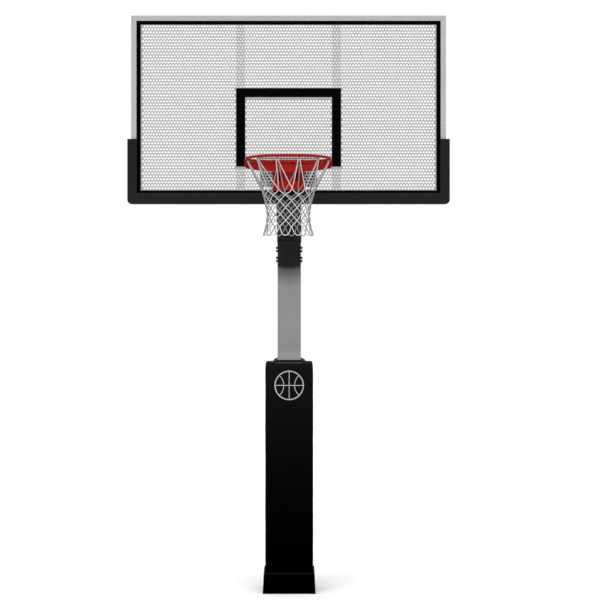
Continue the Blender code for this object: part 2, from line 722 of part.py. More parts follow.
def build_moving_bracket():
    """Box channel: its top lip bears on the back plate, its floor sits on the springs and ends there."""
    stop = PLATE_FRONT - GAP
    nose = RING_Y + RING_RADIUS
    part = box("rim_bracket", (-BRACKET_HALF, nose, BRACKET_BOTTOM), (BRACKET_HALF, stop, BRACKET_TOP),
               RED_STEEL)
    inside = BRACKET_HALF - BRACKET_WALL
    below = BRACKET_BOTTOM - MARGIN
    behind = stop + MARGIN
    cut_box(part, (-inside, nose + BRACKET_NOSE, BRACKET_BOTTOM + BRACKET_WALL),
            (inside, behind, BRACKET_TOP - BRACKET_WALL))
    cut_box(part, (-PIN_HALF, PIN_Y + HEEL_SETBACK, below), (PIN_HALF, behind, PIN_Z + HEEL_RISE))
    cut_box(part, (-inside, PIN_Y - FLOOR_SETBACK, below),
            (inside, behind, BRACKET_BOTTOM + 2 * BRACKET_WALL))
    cut_box(part, (-inside, nose + BRACKET_NOSE, below),
            (inside, PIN_Y - FLOOR_REACH, BRACKET_BOTTOM + 2 * BRACKET_WALL))
    cut_hole(part, (-2 * PIN_HALF, PIN_Y, PIN_Z), X_AXIS, 4 * PIN_HALF, PIN_RADIUS + GAP)
    cradle = prism_mesh("ring_room", (0, RING_Y, below), Z_AXIS, BRACKET_TOP + MARGIN - below,
                        RING_RADIUS + ROD_RADIUS + GAP, CRADLE_SEGMENTS)
    combine(part, cradle, "DIFFERENCE")


def build_net():
    inner = [(radius - NET_WALL, height) for radius, height in reversed(NET_PROFILE)]
    net = turned("net", list(NET_PROFILE) + inner, NET_SEGMENTS, WHITE_CORD)
    net.location.y = RING_Y


# ---- pole pad ----

def build_pole_pad():
    pad = box("pole_pad", (-POLE_PAD_HALF, -POLE_PAD_HALF, POLE_PAD_BOTTOM),
              (POLE_PAD_HALF, POLE_PAD_HALF, POLE_PAD_TOP), BLACK_VINYL)
    bevel(pad, POLE_PAD_ROUND, 3)
    snug = POST_HALF + GAP
    under = POLE_PAD_BOTTOM - MARGIN
    over = POLE_PAD_TOP + MARGIN
    cut_box(pad, (-snug, -snug, under), (snug, snug, over))
    cut_box(pad, (-POLE_PAD_SLIT / 2, 0, under), (POLE_PAD_SLIT / 2, POLE_PAD_HALF + MARGIN, over))
    low = POLE_PAD_TOP + GAP
    root2 = math.sqrt(2)
    inner = (POST_HALF + GAP) * root2
    profile = [(COLLAR_TOP_HALF * root2, low + COLLAR_HEIGHT), (COLLAR_LOW_HALF * root2, low),
               (inner, low), (inner, low + COLLAR_HEIGHT)]
    turned("pad_collar", profile, 4, BLACK_VINYL, math.pi / 4)
    for number, height in enumerate(STRAP_HEIGHTS, 1):
        strap = box(f"pad_strap_{number}",
                    (-STRAP_LENGTH / 2, POLE_PAD_HALF + GAP, height - STRAP_WIDTH / 2),
                    (STRAP_LENGTH / 2, POLE_PAD_HALF + GAP + STRAP_THICK, height + STRAP_WIDTH / 2),
                    BLACK_WEBBING)
        bevel(strap, STRAP_BEVEL, 1)


clear_scene()
PARTS = make_collection("basketball_hoop")
TOOLS = make_collection("shaping_tools")

STEEL = make_material("bare_steel", (0.30, 0.31, 0.32), 0.45, 0.9)
ZINC = make_material("zinc_plated", (0.55, 0.56, 0.57), 0.35, 0.9)
GREY_STEEL = make_material("grey_paint", (0.27, 0.27, 0.27), 0.45)
BLACK_STEEL = make_material("black_paint", (0.014, 0.014, 0.014), 0.40)
BLACK_BOLT = make_material("black_oxide", (0.02, 0.02, 0.02), 0.40, 0.6)
LIGHT_METAL = make_material("light_metal", (0.52, 0.52, 0.52), 0.40, 0.3)
RED_STEEL = make_material("red_paint", (0.36, 0.010, 0.008), 0.35)
WHITE_CORD = make_material("white_cord", (0.80, 0.80, 0.80), 0.80)
BLACK_VINYL = make_material("black_vinyl", (0.008, 0.008, 0.008), 0.45)
BLACK_FOAM = make_material("black_foam", (0.017, 0.017, 0.017), 0.60)
BLACK_PLASTIC = make_material("black_plastic", (0.010, 0.010, 0.010), 0.50)
BLACK_WEBBING = make_material("black_webbing", (0.015, 0.015, 0.015), 0.85)

build_base()
build_skirt()
build_pole()
build_arm()
build_board_frame()
build_panel()
build_rear_frame()
build_board_pad()
build_fixed_bracket()
build_rim_fasteners()
build_springs()
build_ring()
build_ring_brace()
build_moving_bracket()
build_net()
build_pole_pad()
bpy.context.view_layer.update()
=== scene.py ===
import math
import random

import bmesh
import bpy
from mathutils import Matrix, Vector
from mathutils.bvhtree import BVHTree


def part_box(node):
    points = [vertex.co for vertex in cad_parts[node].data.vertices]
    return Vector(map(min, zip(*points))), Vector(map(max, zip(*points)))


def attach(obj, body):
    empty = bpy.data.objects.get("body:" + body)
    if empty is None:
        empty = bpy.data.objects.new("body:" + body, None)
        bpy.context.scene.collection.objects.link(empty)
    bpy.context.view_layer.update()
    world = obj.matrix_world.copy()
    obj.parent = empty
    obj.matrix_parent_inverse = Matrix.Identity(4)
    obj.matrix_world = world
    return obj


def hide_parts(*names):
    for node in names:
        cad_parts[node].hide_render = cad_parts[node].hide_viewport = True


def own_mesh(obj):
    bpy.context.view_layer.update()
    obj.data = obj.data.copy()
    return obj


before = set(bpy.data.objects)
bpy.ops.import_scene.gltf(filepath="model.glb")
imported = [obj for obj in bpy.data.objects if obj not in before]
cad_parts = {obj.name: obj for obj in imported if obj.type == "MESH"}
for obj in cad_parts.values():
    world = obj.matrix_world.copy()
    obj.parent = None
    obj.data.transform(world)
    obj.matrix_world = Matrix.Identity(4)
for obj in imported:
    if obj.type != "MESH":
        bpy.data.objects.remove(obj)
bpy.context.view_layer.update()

# Basketball hoop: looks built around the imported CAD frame. Metres, +Z up, the board faces -Y.

FIXED = "hoop"
MOVING = "rim"
MM = 0.001

# ---- places taken from the frame ----

panel_low, panel_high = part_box("perforated_panel")
rail_low, rail_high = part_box("board_rail_left")
ring_low, ring_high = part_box("ring_rod")
brace_low, brace_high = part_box("ring_brace")
bracket_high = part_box("rim_bracket")[1]
plate_low, plate_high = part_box("rim_back_plate")
net_low, net_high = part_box("net")
board_pad_low, board_pad_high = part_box("board_pad")
pole_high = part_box("pole")[1]
pole_pad_low, pole_pad_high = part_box("pole_pad")
collar_low, collar_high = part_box("pad_collar")
arm_low, arm_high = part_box("arm_tube")
flange_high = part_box("arm_flange")[1]
skirt_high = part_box("skirt_front")[1]

RING_RADIUS = 0.2366
ROD = (ring_high.x - ring_low.x) / 2 - RING_RADIUS
RING_Z = ring_high.z - ROD
RING_Y = (ring_high.y + ring_low.y) / 2
BRACE_RADIUS = brace_high.x - 2.5 * MM
BRACE_TAPER = 11.0 * MM
POLE_HALF = pole_high.x

# ---- panel ----

HOLE_PITCH = 17.42 * MM
HOLE_RADIUS = 6.85 * MM
HOLE_MARGIN = 0.3 * MM
BORDER_X = 0.8581
BORDER_TOP = panel_high.z - 32.4 * MM
BORDER_BOTTOM = panel_low.z + 29.8 * MM
TARGET_HALF = 0.3047
TARGET_TOP = rail_low.z + 645.2 * MM
TARGET_BOTTOM = rail_low.z + 188.9 * MM
TARGET_BAR = 53.0 * MM
PANEL_STRIPS = 3

# ---- net ----

HOOKS = 12
CORD_RADIUS = 2.75 * MM
NET_ROWS = 7
NET_TWIST = math.radians(-8.2)
NET_LEAN = 5.0 * MM
NET_FIRST_ROW = net_high.z - 148.0 * MM
NET_ROW_STEP = 35.0 * MM
NET_PROFILE = (
    (net_high.z, 0.2240),
    (net_high.z - 153.0 * MM, 0.1520),
    (net_high.z - 228.0 * MM, 0.1300),
    (net_high.z - 289.0 * MM, 0.1215),
    (net_high.z - 340.0 * MM, 0.1260),
    (net_low.z, 0.1450),
)

# One eye under the rod, as (out, up), and the cord over it, as (aside, down, in), in millimetres.
EYE_OUTLINE = ((0.4, -5), (1.0, -10.5), (-0.4, -16.0), (-6.0, -19.4), (-11.2, -15.5), (-10.6, -9.5),
               (-6.4, -4.2))
HOOK_WRAP = ((-7.0, 32.0, 8.5), (-5.0, 20.0, 6.5), (-2.8, 16.2, 6.0), (0.0, 14.8, 6.0),
             (2.8, 16.2, 6.0), (5.0, 20.0, 6.5), (7.0, 32.0, 8.5))


# ---- materials ----

def grey(value, warmth=0.0):
    return (value * (1 + warmth), value, value * (1 - warmth))


def shade(colour, factor):
    return tuple(channel * factor for channel in colour)


class Look:
    """One Principled material built up out of nodes, placed by the row frame's coordinates."""

    def __init__(self, name, **constants):
        self.material = bpy.data.materials.new(name)
        self.material.use_nodes = True
        self.tree = self.material.node_tree
        self.shader = self.tree.nodes["Principled BSDF"]
        for socket, value in constants.items():
            self.shader.inputs[socket.replace("_", " ")].default_value = value
        self.coordinates = self.node("ShaderNodeTexCoord")
        self.place = self.coordinates.outputs["Object"]

    def node(self, kind, values=None, **settings):
        made = self.tree.nodes.new(kind)
        for key, value in settings.items():
            setattr(made, key, value)
        for socket, value in (values or {}).items():
            self.feed(made.inputs[socket], value)
        return made

    def feed(self, socket, value):
        if isinstance(value, bpy.types.NodeSocket):
            self.tree.links.new(value, socket)
        elif isinstance(value, tuple) and len(value) == 3 and socket.type == "RGBA":
            socket.default_value = (*value, 1.0)
        else:
            socket.default_value = value

    def calc(self, operation, first, second=0.0, clamp=False):
        values = {0: first, 1: second}
        return self.node("ShaderNodeMath", values, operation=operation, use_clamp=clamp).outputs[0]

    def times(self, first, second):
        return self.calc("MULTIPLY", first, second)

    def axes(self, vector=None):
        return self.node("ShaderNodeSeparateXYZ", {0: vector or self.place}).outputs

    def noise(self, scale, detail=3.0, rough=0.5, stretch=None, distortion=0.0):
        place = self.place
        if stretch:
            place = self.node("ShaderNodeMapping", {"Vector": place, "Scale": stretch}).outputs[0]
        values = {"Vector": place, "Scale": scale, "Detail": detail, "Roughness": rough,
                  "Distortion": distortion}
        return self.node("ShaderNodeTexNoise", values).outputs["Fac"]

    def span(self, value, low, high, to_low=0.0, to_high=1.0):
        values = dict(enumerate((value, low, high, to_low, to_high)))
        return self.node("ShaderNodeMapRange", values, clamp=True).outputs[0]

    def mix(self, factor, first, second):
        return self.node("ShaderNodeMix", {0: factor, 6: first, 7: second}, data_type="RGBA").outputs[2]

    def vary(self, factor, colour, darker, lighter):
        """Between a darker and a lighter shade of one colour."""
        return self.mix(factor, shade(colour, darker), shade(colour, lighter))

    def stain(self, base, tint, noise, low, high, amount):
        """Another tint over the base, in the patches where a noise is high."""
        return self.mix(self.span(self.noise(*noise), low, high, 0.0, amount), base, tint)

    def rubbed_and_highlight(self, base, tint, noise, amount):
        """Another tint along the edges, in patches."""
        patches = self.times(self.edge(1.6 * MM), self.span(self.noise(*noise), 0.50, 0.62))
        return self.mix(self.times(patches, amount), base, tint)

    def edge(self, radius):
        """1 along worn convex and concave edges, 0 on flat faces."""
        rounded = self.node("ShaderNodeBevel", {"Radius": radius}, samples=4).outputs[0]
        true = self.node("ShaderNodeNewGeometry").outputs["True Normal"]
        dot = self.node("ShaderNodeVectorMath", {0: rounded, 1: true}, operation="DOT_PRODUCT")
        return self.span(dot.outputs["Value"], 0.97, 0.80)

    def bump(self, height, distance, strength=1.0, under=None):
        values = {"Strength": strength, "Distance": distance, "Height": height}
        if under is not None:
            values["Normal"] = under
        return self.node("ShaderNodeBump", values).outputs[0]

    def done(self, colour, roughness, normal=None):
        self.feed(self.shader.inputs["Base Color"], colour)
        self.feed(self.shader.inputs["Roughness"], roughness)
        if normal is not None:
            self.feed(self.shader.inputs["Normal"], normal)
        return self.material


def painted(name, colour, rough, spread=0.10, grain=1400.0, depth=0.05, bare=None, worn=0.5, front_shade=None,
            **constants):
    """Powder coat or enamel: faint mottling, orange-peel grain, and paint worn thin along the edges.
    It can be darker towards the front: painted shade where the board shades it."""
    look = Look(name, **constants)
    base = look.vary(look.noise(7.0, 6.0, 0.6), colour, 1 - spread, 1 + spread)
    base = look.stain(base, shade(colour, 1 + 2.5 * spread), (grain * 0.6, 1.0), 0.62, 0.72, 0.35)
    # Painted shade: darker towards the front, under the board.
    if front_shade:
        base = look.mix(look.span(look.axes()[1], *front_shade), shade(colour, 0.2), base)
    if bare:
        base = look.rubbed_and_highlight(base, bare, (60.0, 8.0, 0.65), worn)
    smear = look.noise(18.0, 5.0, 0.6, (1, 1, 0.25))
    return look.done(base, look.span(smear, 0.3, 0.7, rough - 0.07, rough + 0.08),
                     look.bump(look.noise(grain, 2.0), depth * MM))


def metal(name, colour, rough):
    """Bare or plated metal with a fine directional grain and stains."""
    look = Look(name, Metallic=1.0)
    lines = look.noise(160.0, 4.0, 0.6, (1, 1, 30))
    base = look.vary(look.noise(45.0, 6.0, 0.65), colour, 0.88, 1.12)
    base = look.stain(base, shade(colour, 0.45), (110.0, 5.0), 0.58, 0.70, 0.5)
    return look.done(base, look.span(lines, 0.3, 0.7, rough - 0.08, rough + 0.12),
                     look.bump(lines, 0.02 * MM))


def sheet_paint():
    """The perforated sheet: silver grey with a black border and a black target, both straight edged."""
    look = Look("panel_paint", Specular_IOR_Level=0.02)
    x, _, z = look.axes()
    wide = look.calc("ABSOLUTE", x)

    def within(half, top, bottom):
        """1 inside a rectangle about the board's middle, 0 outside."""
        upright = look.times(look.calc("LESS_THAN", z, top), look.calc("GREATER_THAN", z, bottom))
        return look.times(look.calc("LESS_THAN", wide, half), upright)

    border = look.calc("SUBTRACT", 1.0, within(BORDER_X, BORDER_TOP, BORDER_BOTTOM))
    hollow = within(TARGET_HALF - TARGET_BAR, TARGET_TOP - TARGET_BAR, panel_low.z)
    bars = look.calc("SUBTRACT", within(TARGET_HALF, TARGET_TOP, TARGET_BOTTOM), hollow, clamp=True)
    front = look.node("ShaderNodeNewGeometry").outputs["Normal"]
    facing = look.calc("LESS_THAN", look.axes(front)[1], -0.5)
    black = look.times(look.calc("MAXIMUM", border, bars), facing)
    cloud = look.noise(9.0, 6.0, 0.6)
    silver = look.mix(cloud, SHEET_DARK, SHEET_LIGHT)
    silver = look.stain(silver, shade(SHEET_LIGHT, 1.25), (35.0, 7.0, 0.7), 0.60, 0.72, 0.5)
    colour = look.mix(black, silver, look.vary(look.noise(30.0, 5.0), BLACK_INK, 1.0, 1.8))
    return look.done(colour, look.span(cloud, 0.3, 0.7, 0.38, 0.55),
                     look.bump(look.noise(1500.0, 2.0), 0.04 * MM))


def pole_paint():
    """Grey powder coat, with painted shade under the joint with the arm post and painted light just above the
    pad's collar.
    """
    look = Look("pole_grey", Specular_IOR_Level=0.25)
    x, _, z = look.axes()
    cloud = look.noise(5.0, 6.0, 0.6)
    base = look.vary(cloud, POLE_GREY, 0.94, 1.06)
    base = look.stain(base, shade(POLE_GREY, 0.72), (38.0, 5.0, 0.6, (1, 1, 0.04)), 0.52, 0.75, 0.30)
    # Painted shade under the joint with the arm post: a long soft fall-off and a darker band just under the
    # post, its ragged edge reaching lower in the middle.
    bow = look.calc("POWER", look.calc("DIVIDE", look.calc("ABSOLUTE", x), POLE_HALF), 2.0)
    ragged = look.calc("ADD", z, look.times(look.noise(60.0, 6.0, 0.6), 12 * MM))
    ragged = look.calc("SUBTRACT", ragged, look.times(bow, 14 * MM))
    top = pole_high.z + 9 * MM
    long_shade = look.span(ragged, top - 140 * MM, top - 26 * MM, 0.0, 0.70)
    painted_shade = look.calc("ADD", long_shade, look.span(ragged, top - 28 * MM, top - 12 * MM, 0.0, 0.28))
    base = look.mix(painted_shade, base, shade(POLE_GREY, 0.03))
    # Painted light just above the pad's collar, lifting the shade that falls there.
    collar_light = look.span(z, collar_high.z - 10 * MM, collar_high.z + 80 * MM, 1.0, 0.0)
    base = look.mix(look.calc("POWER", collar_light, 1.5), base, shade(POLE_GREY, 1.9))
    base = look.rubbed_and_highlight(base, shade(POLE_GREY, 1.6), (50.0, 8.0), 0.4)
    return look.done(base, look.span(cloud, 0.3, 0.7, 0.36, 0.52),
                     look.bump(look.noise(1400.0, 2.0), 0.05 * MM))


def vinyl(name, colour, rough, shade_downward=None, **constants):
    """Coated vinyl: leather-like pebbles over a fine base cloth, scuffed lighter, and it can get painted
    shade, darker downwards.
    """
    look = Look(name, **constants)
    pebbles = {"Vector": look.place, "Scale": 650.0}
    pebble = look.node("ShaderNodeTexVoronoi", pebbles, feature="DISTANCE_TO_EDGE").outputs["Distance"]
    fine = look.noise(1950.0, 3.0, 0.6)
    crease = look.noise(24.0, 5.0, 0.6, (1.0, 1.0, 0.5), 0.6)
    base = look.vary(look.noise(5.0, 6.0, 0.6), colour, 0.8, 1.25)
    base = look.mix(look.span(pebble, 0.0, 0.10, 0.5, 0.0), base, shade(colour, 0.35))
    base = look.stain(base, shade(colour, 2.2), (16.0, 8.0, 0.7), 0.56, 0.74, 0.30)
    # Painted shade: darker towards the bottom of the pad, as light falls from above.
    if shade_downward:
        height = look.span(look.axes()[2], *shade_downward)
        base = look.mix(look.calc("POWER", height, 2.0), shade(colour, 0.02), base)
    first = look.bump(look.calc("MINIMUM", pebble, 0.16), 0.25 * MM, 0.7)
    second = look.bump(fine, 0.03 * MM, 0.5, first)
    third = look.bump(crease, 0.9 * MM, 0.35, second)
    return look.done(base, look.span(fine, 0.3, 0.7, rough - 0.06, rough + 0.10), third)


def moulded(name, colour, rough, scale=900.0, lip=None, **constants):
    """Moulded foam skin or plastic with a fine texture, flow marks, a few scuffs, lighter edges and a painted
    highlight along the lip.
    """
    look = Look(name, **constants)
    texture = look.noise(scale, 3.0, 0.65)
    base = look.vary(look.noise(6.0, 5.0, 0.55, (0.35, 1, 1), 0.8), colour, 0.85, 1.18)
    base = look.stain(base, shade(colour, 2.4), (26.0, 9.0, 0.75, (0.2, 1, 1.4)), 0.60, 0.72, 0.35)
    # Lighter along the edges: partly rubbed wear, partly a painted highlight on the rounded edges.
    base = look.mix(look.times(look.edge(2.5 * MM), 0.45), base, shade(colour, 2.6))
    # Painted highlight: a light line just under the lip's top edge.
    if lip:
        z = look.axes()[2]
        band = look.times(look.span(z, lip - 7 * MM, lip - 6 * MM),
                          look.span(z, lip - 1 * MM, lip - 0.4 * MM, 1.0, 0.0))
        lip_highlight_mask = look.times(band, look.span(look.noise(20.0, 6.0, 0.7), 0.3, 0.6, 0.55, 1.0))
        base = look.mix(lip_highlight_mask, base, LIP_HIGHLIGHT)
    return look.done(base, look.span(texture, 0.3, 0.7, rough - 0.05, rough + 0.08),
                     look.bump(texture, 0.10 * MM))


def twisted_cord(name, colour, pitch, strands, depth, board_side_shade=None, **constants):
    """Laid cord: strands wind round it, from the piece's own length and turn coordinates.
    It can be darker towards the board: painted shade on the side and back strands."""
    look = Look(name, **constants)
    along, around, _ = look.axes(look.coordinates.outputs["UV"])
    phase = look.calc("ADD", look.calc("DIVIDE", along, pitch), look.times(around, strands))
    lay = look.calc("ABSOLUTE", look.calc("SINE", look.times(phase, math.pi)))
    fibre = look.noise(2600.0, 3.0, 0.7)
    base = look.vary(look.span(lay, 0.0, 0.55), colour, 0.45, 1.0)
    base = look.stain(base, shade(colour, 0.72), (14.0, 6.0, 0.7), 0.45, 0.75, 0.35)
    if board_side_shade:
        # Painted shade on the strands towards the board: the sides and back of the net darker than its front.
        base = look.mix(look.span(look.axes()[1], *board_side_shade, 0.0, 0.9), base, shade(colour, 0.30))
    return look.done(base, look.span(fibre, 0.2, 0.8, 0.67, 0.85),
                     look.bump(fibre, 0.08 * MM, 0.6, look.bump(lay, depth * MM)))


def piping(name, colour, rubbed_and_highlight, **constants):
    """Vinyl piping with a painted highlight: lighter along the middle of each side."""
    look = Look(name, **constants)
    x, y, _ = look.axes()
    away = look.calc("MINIMUM", look.calc("ABSOLUTE", x), look.calc("ABSOLUTE", y))
    # Painted highlight along the middle of each side.
    highlight_band = look.span(away, POLE_HALF - 6 * MM, POLE_HALF + 8 * MM, 1.0, 0.0)
    grain = look.noise(1900.0, 3.0, 0.6)
    base = look.stain(look.mix(highlight_band, colour, rubbed_and_highlight), shade(colour, 0.5), (90.0, 6.0, 0.7), 0.45, 0.7, 0.3)
    return look.done(base, look.span(grain, 0.3, 0.7, 0.48, 0.62), look.bump(grain, 0.05 * MM))


def webbing(name, colour, **constants):
    """Woven strap: a basket weave of warp ribs and weft."""
    look = Look(name, **constants)
    x, _, z = look.axes()
    warp = look.calc("SINE", look.times(z, math.tau / (1.6 * MM)))
    weft = look.calc("SINE", look.times(x, math.tau / (1.3 * MM)))
    weave = look.times(warp, weft)
    base = look.vary(look.span(weave, -1.0, 1.0), colour, 0.6, 1.5)
    fuzz = look.noise(1800.0, 4.0, 0.7)
    base = look.mix(look.span(fuzz, 0.5, 0.8, 0.0, 0.4), base, shade(colour, 2.2))
    return look.done(base, look.span(fuzz, 0.2, 0.8, 0.78, 0.95), look.bump(weave, 0.25 * MM))


def bead_paint(name, colour, rough, **constants):
    """Weld bead under paint: stacked ripples with small craters."""
    look = Look(name, **constants)
    along = look.axes(look.coordinates.outputs["UV"])[0]
    ripple = look.calc("SINE", look.times(along, math.tau / (2.2 * MM)))
    pits = look.noise(500.0, 4.0, 0.7)
    return look.done(look.vary(pits, colour, 0.75, 1.2), look.span(pits, 0.3, 0.7, rough, rough + 0.15),
                     look.bump(look.calc("ADD", ripple, pits), 0.3 * MM))


SHEET_DARK = grey(0.32)
SHEET_LIGHT = grey(0.38)
BLACK_INK = grey(0.0004)
POLE_GREY = grey(0.285)
SILVER = grey(0.425)
# Painted light: the uprights' silver is far lighter than the rails', against the shade the sheet casts on
# them.
UPRIGHT_SILVER = grey(0.90)
RED = (0.34, 0.0085, 0.0050)
# Painted highlight colour for the skirt's lip.
LIP_HIGHLIGHT = grey(0.0105)

panel_look = sheet_paint()
pole_look = pole_paint()
frame_look = painted("frame_silver", SILVER, 0.46, 0.05, bare=grey(0.55), worn=0.5,
                     Metallic=0.2, Specular_IOR_Level=0.35)
# Uprights in the lightened silver: painted light.
upright_look = painted("upright_silver", UPRIGHT_SILVER, 0.50, 0.05, bare=grey(0.60), worn=0.4,
                       Specular_IOR_Level=0.35)
arm_look = painted("arm_black", grey(0.0095), 0.48, 0.15, bare=grey(0.08), worn=0.5,
                   Specular_IOR_Level=0.18)
red_look = painted("rim_red", RED, 0.34, 0.08, grain=1100.0, depth=0.07, bare=(0.20, 0.10, 0.07), worn=0.7,
                   Specular_IOR_Level=0.12)
# The rod and the net eyes take a darker copy of the rim red: painted shade on the thin rod.
rod_look = painted("rod_red", shade(RED, 0.74), 0.36, 0.08, grain=1100.0, depth=0.07,
                   bare=(0.20, 0.10, 0.07), worn=0.7, Specular_IOR_Level=0.10)
tube_look = painted("arm_tube_black", grey(0.0095), 0.52, 0.15, bare=grey(0.04), worn=0.4,
                    front_shade=(-0.40, -0.15), Specular_IOR_Level=0.06)
zinc_look = metal("zinc_plate", grey(0.62, 0.02), 0.34)
steel_look = metal("mill_steel", grey(0.35, 0.03), 0.50)
oxide_look = metal("black_oxide_bolt", grey(0.035), 0.42)
spring_look = painted("spring_red", RED, 0.38, 0.10, grain=1800.0, depth=0.04, bare=(0.12, 0.05, 0.04),
                      worn=0.6, Specular_IOR_Level=0.2)
vinyl_look = vinyl("pad_vinyl_black", grey(0.0085), 0.54, shade_downward=(pole_pad_low.z, pole_pad_high.z),
                   Specular_IOR_Level=0.0)
# The top piping is a lighter grey with a lighter middle: a painted highlight along the pad's top edge.
welt_look = piping("pad_welt_grey", grey(0.040), grey(0.150), Specular_IOR_Level=0.1)
collar_look = vinyl("collar_vinyl_black", grey(0.0045), 0.48, Specular_IOR_Level=0.08)
foam_look = moulded("board_pad_skin", grey(0.0080), 0.56, Specular_IOR_Level=0.12)
plastic_look = moulded("skirt_plastic_black", grey(0.0003), 0.55, 1300.0, lip=skirt_high.z,
                       Specular_IOR_Level=0.0)
cord_look = twisted_cord("net_nylon", grey(0.60), 9 * MM, 3, 0.6, board_side_shade=(RING_Y - 0.12, RING_Y),
                         Sheen_Weight=0.2, Sheen_Roughness=0.5)
thread_look = twisted_cord("stitch_thread", grey(0.020), 1.6 * MM, 2, 0.12)
strap_look = webbing("strap_black", grey(0.014), Sheen_Weight=0.15)
print_look = painted("emblem_print", grey(0.50), 0.50, 0.10, 900.0, 0.06, Specular_IOR_Level=0.3)
silver_bead_look = bead_paint("bead_silver", SILVER, 0.45, Metallic=0.2)
black_bead_look = bead_paint("bead_black", grey(0.012), 0.45)
red_bead_look = bead_paint("bead_red", RED, 0.36)
grey_bead_look = bead_paint("bead_grey", POLE_GREY, 0.42)


# ---- building help ----

def placed(name, data):
    made = bpy.data.objects.new(name, data)
    bpy.context.scene.collection.objects.link(made)
    return made


def add_piece(name, bm, material, body, slot=None, replaces=(), sharp=35.0):
    """A finished piece from a bmesh, riding on a body."""
    bmesh.ops.recalc_face_normals(bm, faces=bm.faces)
    mesh = bpy.data.meshes.new(name)
    bm.to_mesh(mesh)
    bm.free()
    piece = placed(name, mesh)
    mesh.materials.append(material)
    mesh.shade_smooth()
    mesh.set_sharp_from_angle(angle=math.radians(sharp))
    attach(piece, body)
    if replaces:
        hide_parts(*replaces)
    return piece


def smooth_line(points, steps, closed=False):
    """A smooth line through all the points (Catmull-Rom)."""
    count = len(points)
    line = []
    for span in range(count if closed else count - 1):
        near = []
        for offset in (-1, 0, 1, 2):
            index = span + offset
            near.append(points[index % count if closed else min(max(index, 0), count - 1)])
        a, b, c, d = near
        for step in range(steps):
            t = step / steps
            line.append(0.5 * (2 * b + (c - a) * t + (2 * a - 5 * b + 4 * c - d) * t ** 2
                               + (3 * b - a - 3 * c + d) * t ** 3))
    if not closed:
        line.append(points[-1].copy())
    return line


def sweep(bm, route, radius, sides, closed=False):
    """Carry a round section along a route without twist. The UVs hold length and turn."""
    uv = bm.loops.layers.uv.verify()
    count = len(route)
    rings = []
    lengths = [0.0]
    normal = None
    for index, point in enumerate(route):
        behind = route[index - 1] if closed or index else point
        ahead = route[(index + 1) % count] if closed or index < count - 1 else point
        tangent = (ahead - behind).normalized()
        if normal is None:
            normal = tangent.orthogonal()
        normal = (normal - tangent * normal.dot(tangent)).normalized()
        side = tangent.cross(normal)
        size = radius(index / (count - 1)) if callable(radius) else radius
        ring = []
        for turn in range(sides):
            angle = math.tau * turn / sides
            spoke = normal * math.cos(angle) * size + side * math.sin(angle) * size
            ring.append(bm.verts.new(point + spoke))
        rings.append(ring)
        if index:
            lengths.append(lengths[-1] + (point - route[index - 1]).length)
    shift = 0
    if closed:
        lengths.append(lengths[-1] + (route[0] - route[-1]).length)
        shift = min(range(sides), key=lambda k: (rings[0][k].co - rings[-1][0].co).length)
    for index in range(count if closed else count - 1):
        last = index == count - 1
        for turn in range(sides):
            extra = shift if last else 0
            other = rings[(index + 1) % count]
            face = bm.faces.new((rings[index][turn], rings[index][(turn + 1) % sides],
                                 other[(turn + 1 + extra) % sides], other[(turn + extra) % sides]))
            spots = ((index, turn), (index, turn + 1), (index + 1, turn + 1), (index + 1, turn))
            for loop, (place, around) in zip(face.loops, spots):
                loop[uv].uv = (lengths[place], around / sides)
    if not closed:
        bm.faces.new(rings[0][::-1])
        bm.faces.new(rings[-1])
    return rings


def tubes(name, routes, radius, sides, material, body, closed=False, **settings):
    bm = bmesh.new()
    for route in routes:
        sweep(bm, route, radius, sides, closed)
    return add_piece(name, bm, material, body, sharp=80, **settings)


def bead(name, routes, size, material, body, slot, closed=False):
    """Weld beads: rippled and slightly uneven in width."""
    bm = bmesh.new()
    for route in routes:
        total = sum((b - a).length for a, b in zip(route, route[1:]))
        steps = max(8, int(total / (2.4 * MM)))
        phase = random.random() * math.tau

        def width(share, phase=phase, steps=steps):
            ripple = 0.10 * math.cos(math.pi * share * steps) + 0.07 * math.sin(phase + share * 23)
            taper = 1.0 if closed else min(1.0, 0.35 + 12 * min(share, 1 - share))
            return size * (1 + ripple) * taper

        sweep(bm, resample(route, steps, closed), width, 8, closed)
    return add_piece(name, bm, material, body, slot, sharp=80)


def resample(route, steps, closed=False):
    """The same route with evenly spaced points."""
    points = list(route) + ([route[0]] if closed else [])
    marks = [0.0]
    for a, b in zip(points, points[1:]):
        marks.append(marks[-1] + (b - a).length)
    line = []
    span = 0
    for step in range(steps if closed else steps + 1):
        goal = marks[-1] * step / steps
        while span < len(marks) - 2 and marks[span + 1] < goal:
            span += 1
        length = max(marks[span + 1] - marks[span], 1e-9)
        line.append(points[span].lerp(points[span + 1], (goal - marks[span]) / length))
    return line


def carried(node, material, width):
    """A CAD node kept as it is, with rounded edges and its finish."""
    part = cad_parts[node]
    part.data.materials.clear()
    part.data.materials.append(material)
    part.data.shade_smooth()
    bevel = {"width": width, "segments": 3, "limit_method": "ANGLE", "angle_limit": math.radians(35),
             "use_clamp_overlap": True}
    for kind, settings in (("WELD", {"merge_threshold": 0.02 * MM}), ("BEVEL", bevel),
                           ("WEIGHTED_NORMAL", {"keep_sharp": False})):
        modifier = part.modifiers.new(kind.title(), kind)
        for key, value in settings.items():
            setattr(modifier, key, value)


def grid_faces(bm, rows, closed=False):
    """Quads between neighbouring rows of vertices."""
    for lower, upper in zip(rows, rows[1:]):
        count = len(lower)
        for index in range(count if closed else count - 1):
            after = (index + 1) % count
            bm.faces.new((lower[index], lower[after], upper[after], upper[index]))


def close_ends(bm, rows):
    return [bm.faces.new(rows[0]), bm.faces.new(rows[-1][::-1])]


# ---- perforated panel ----

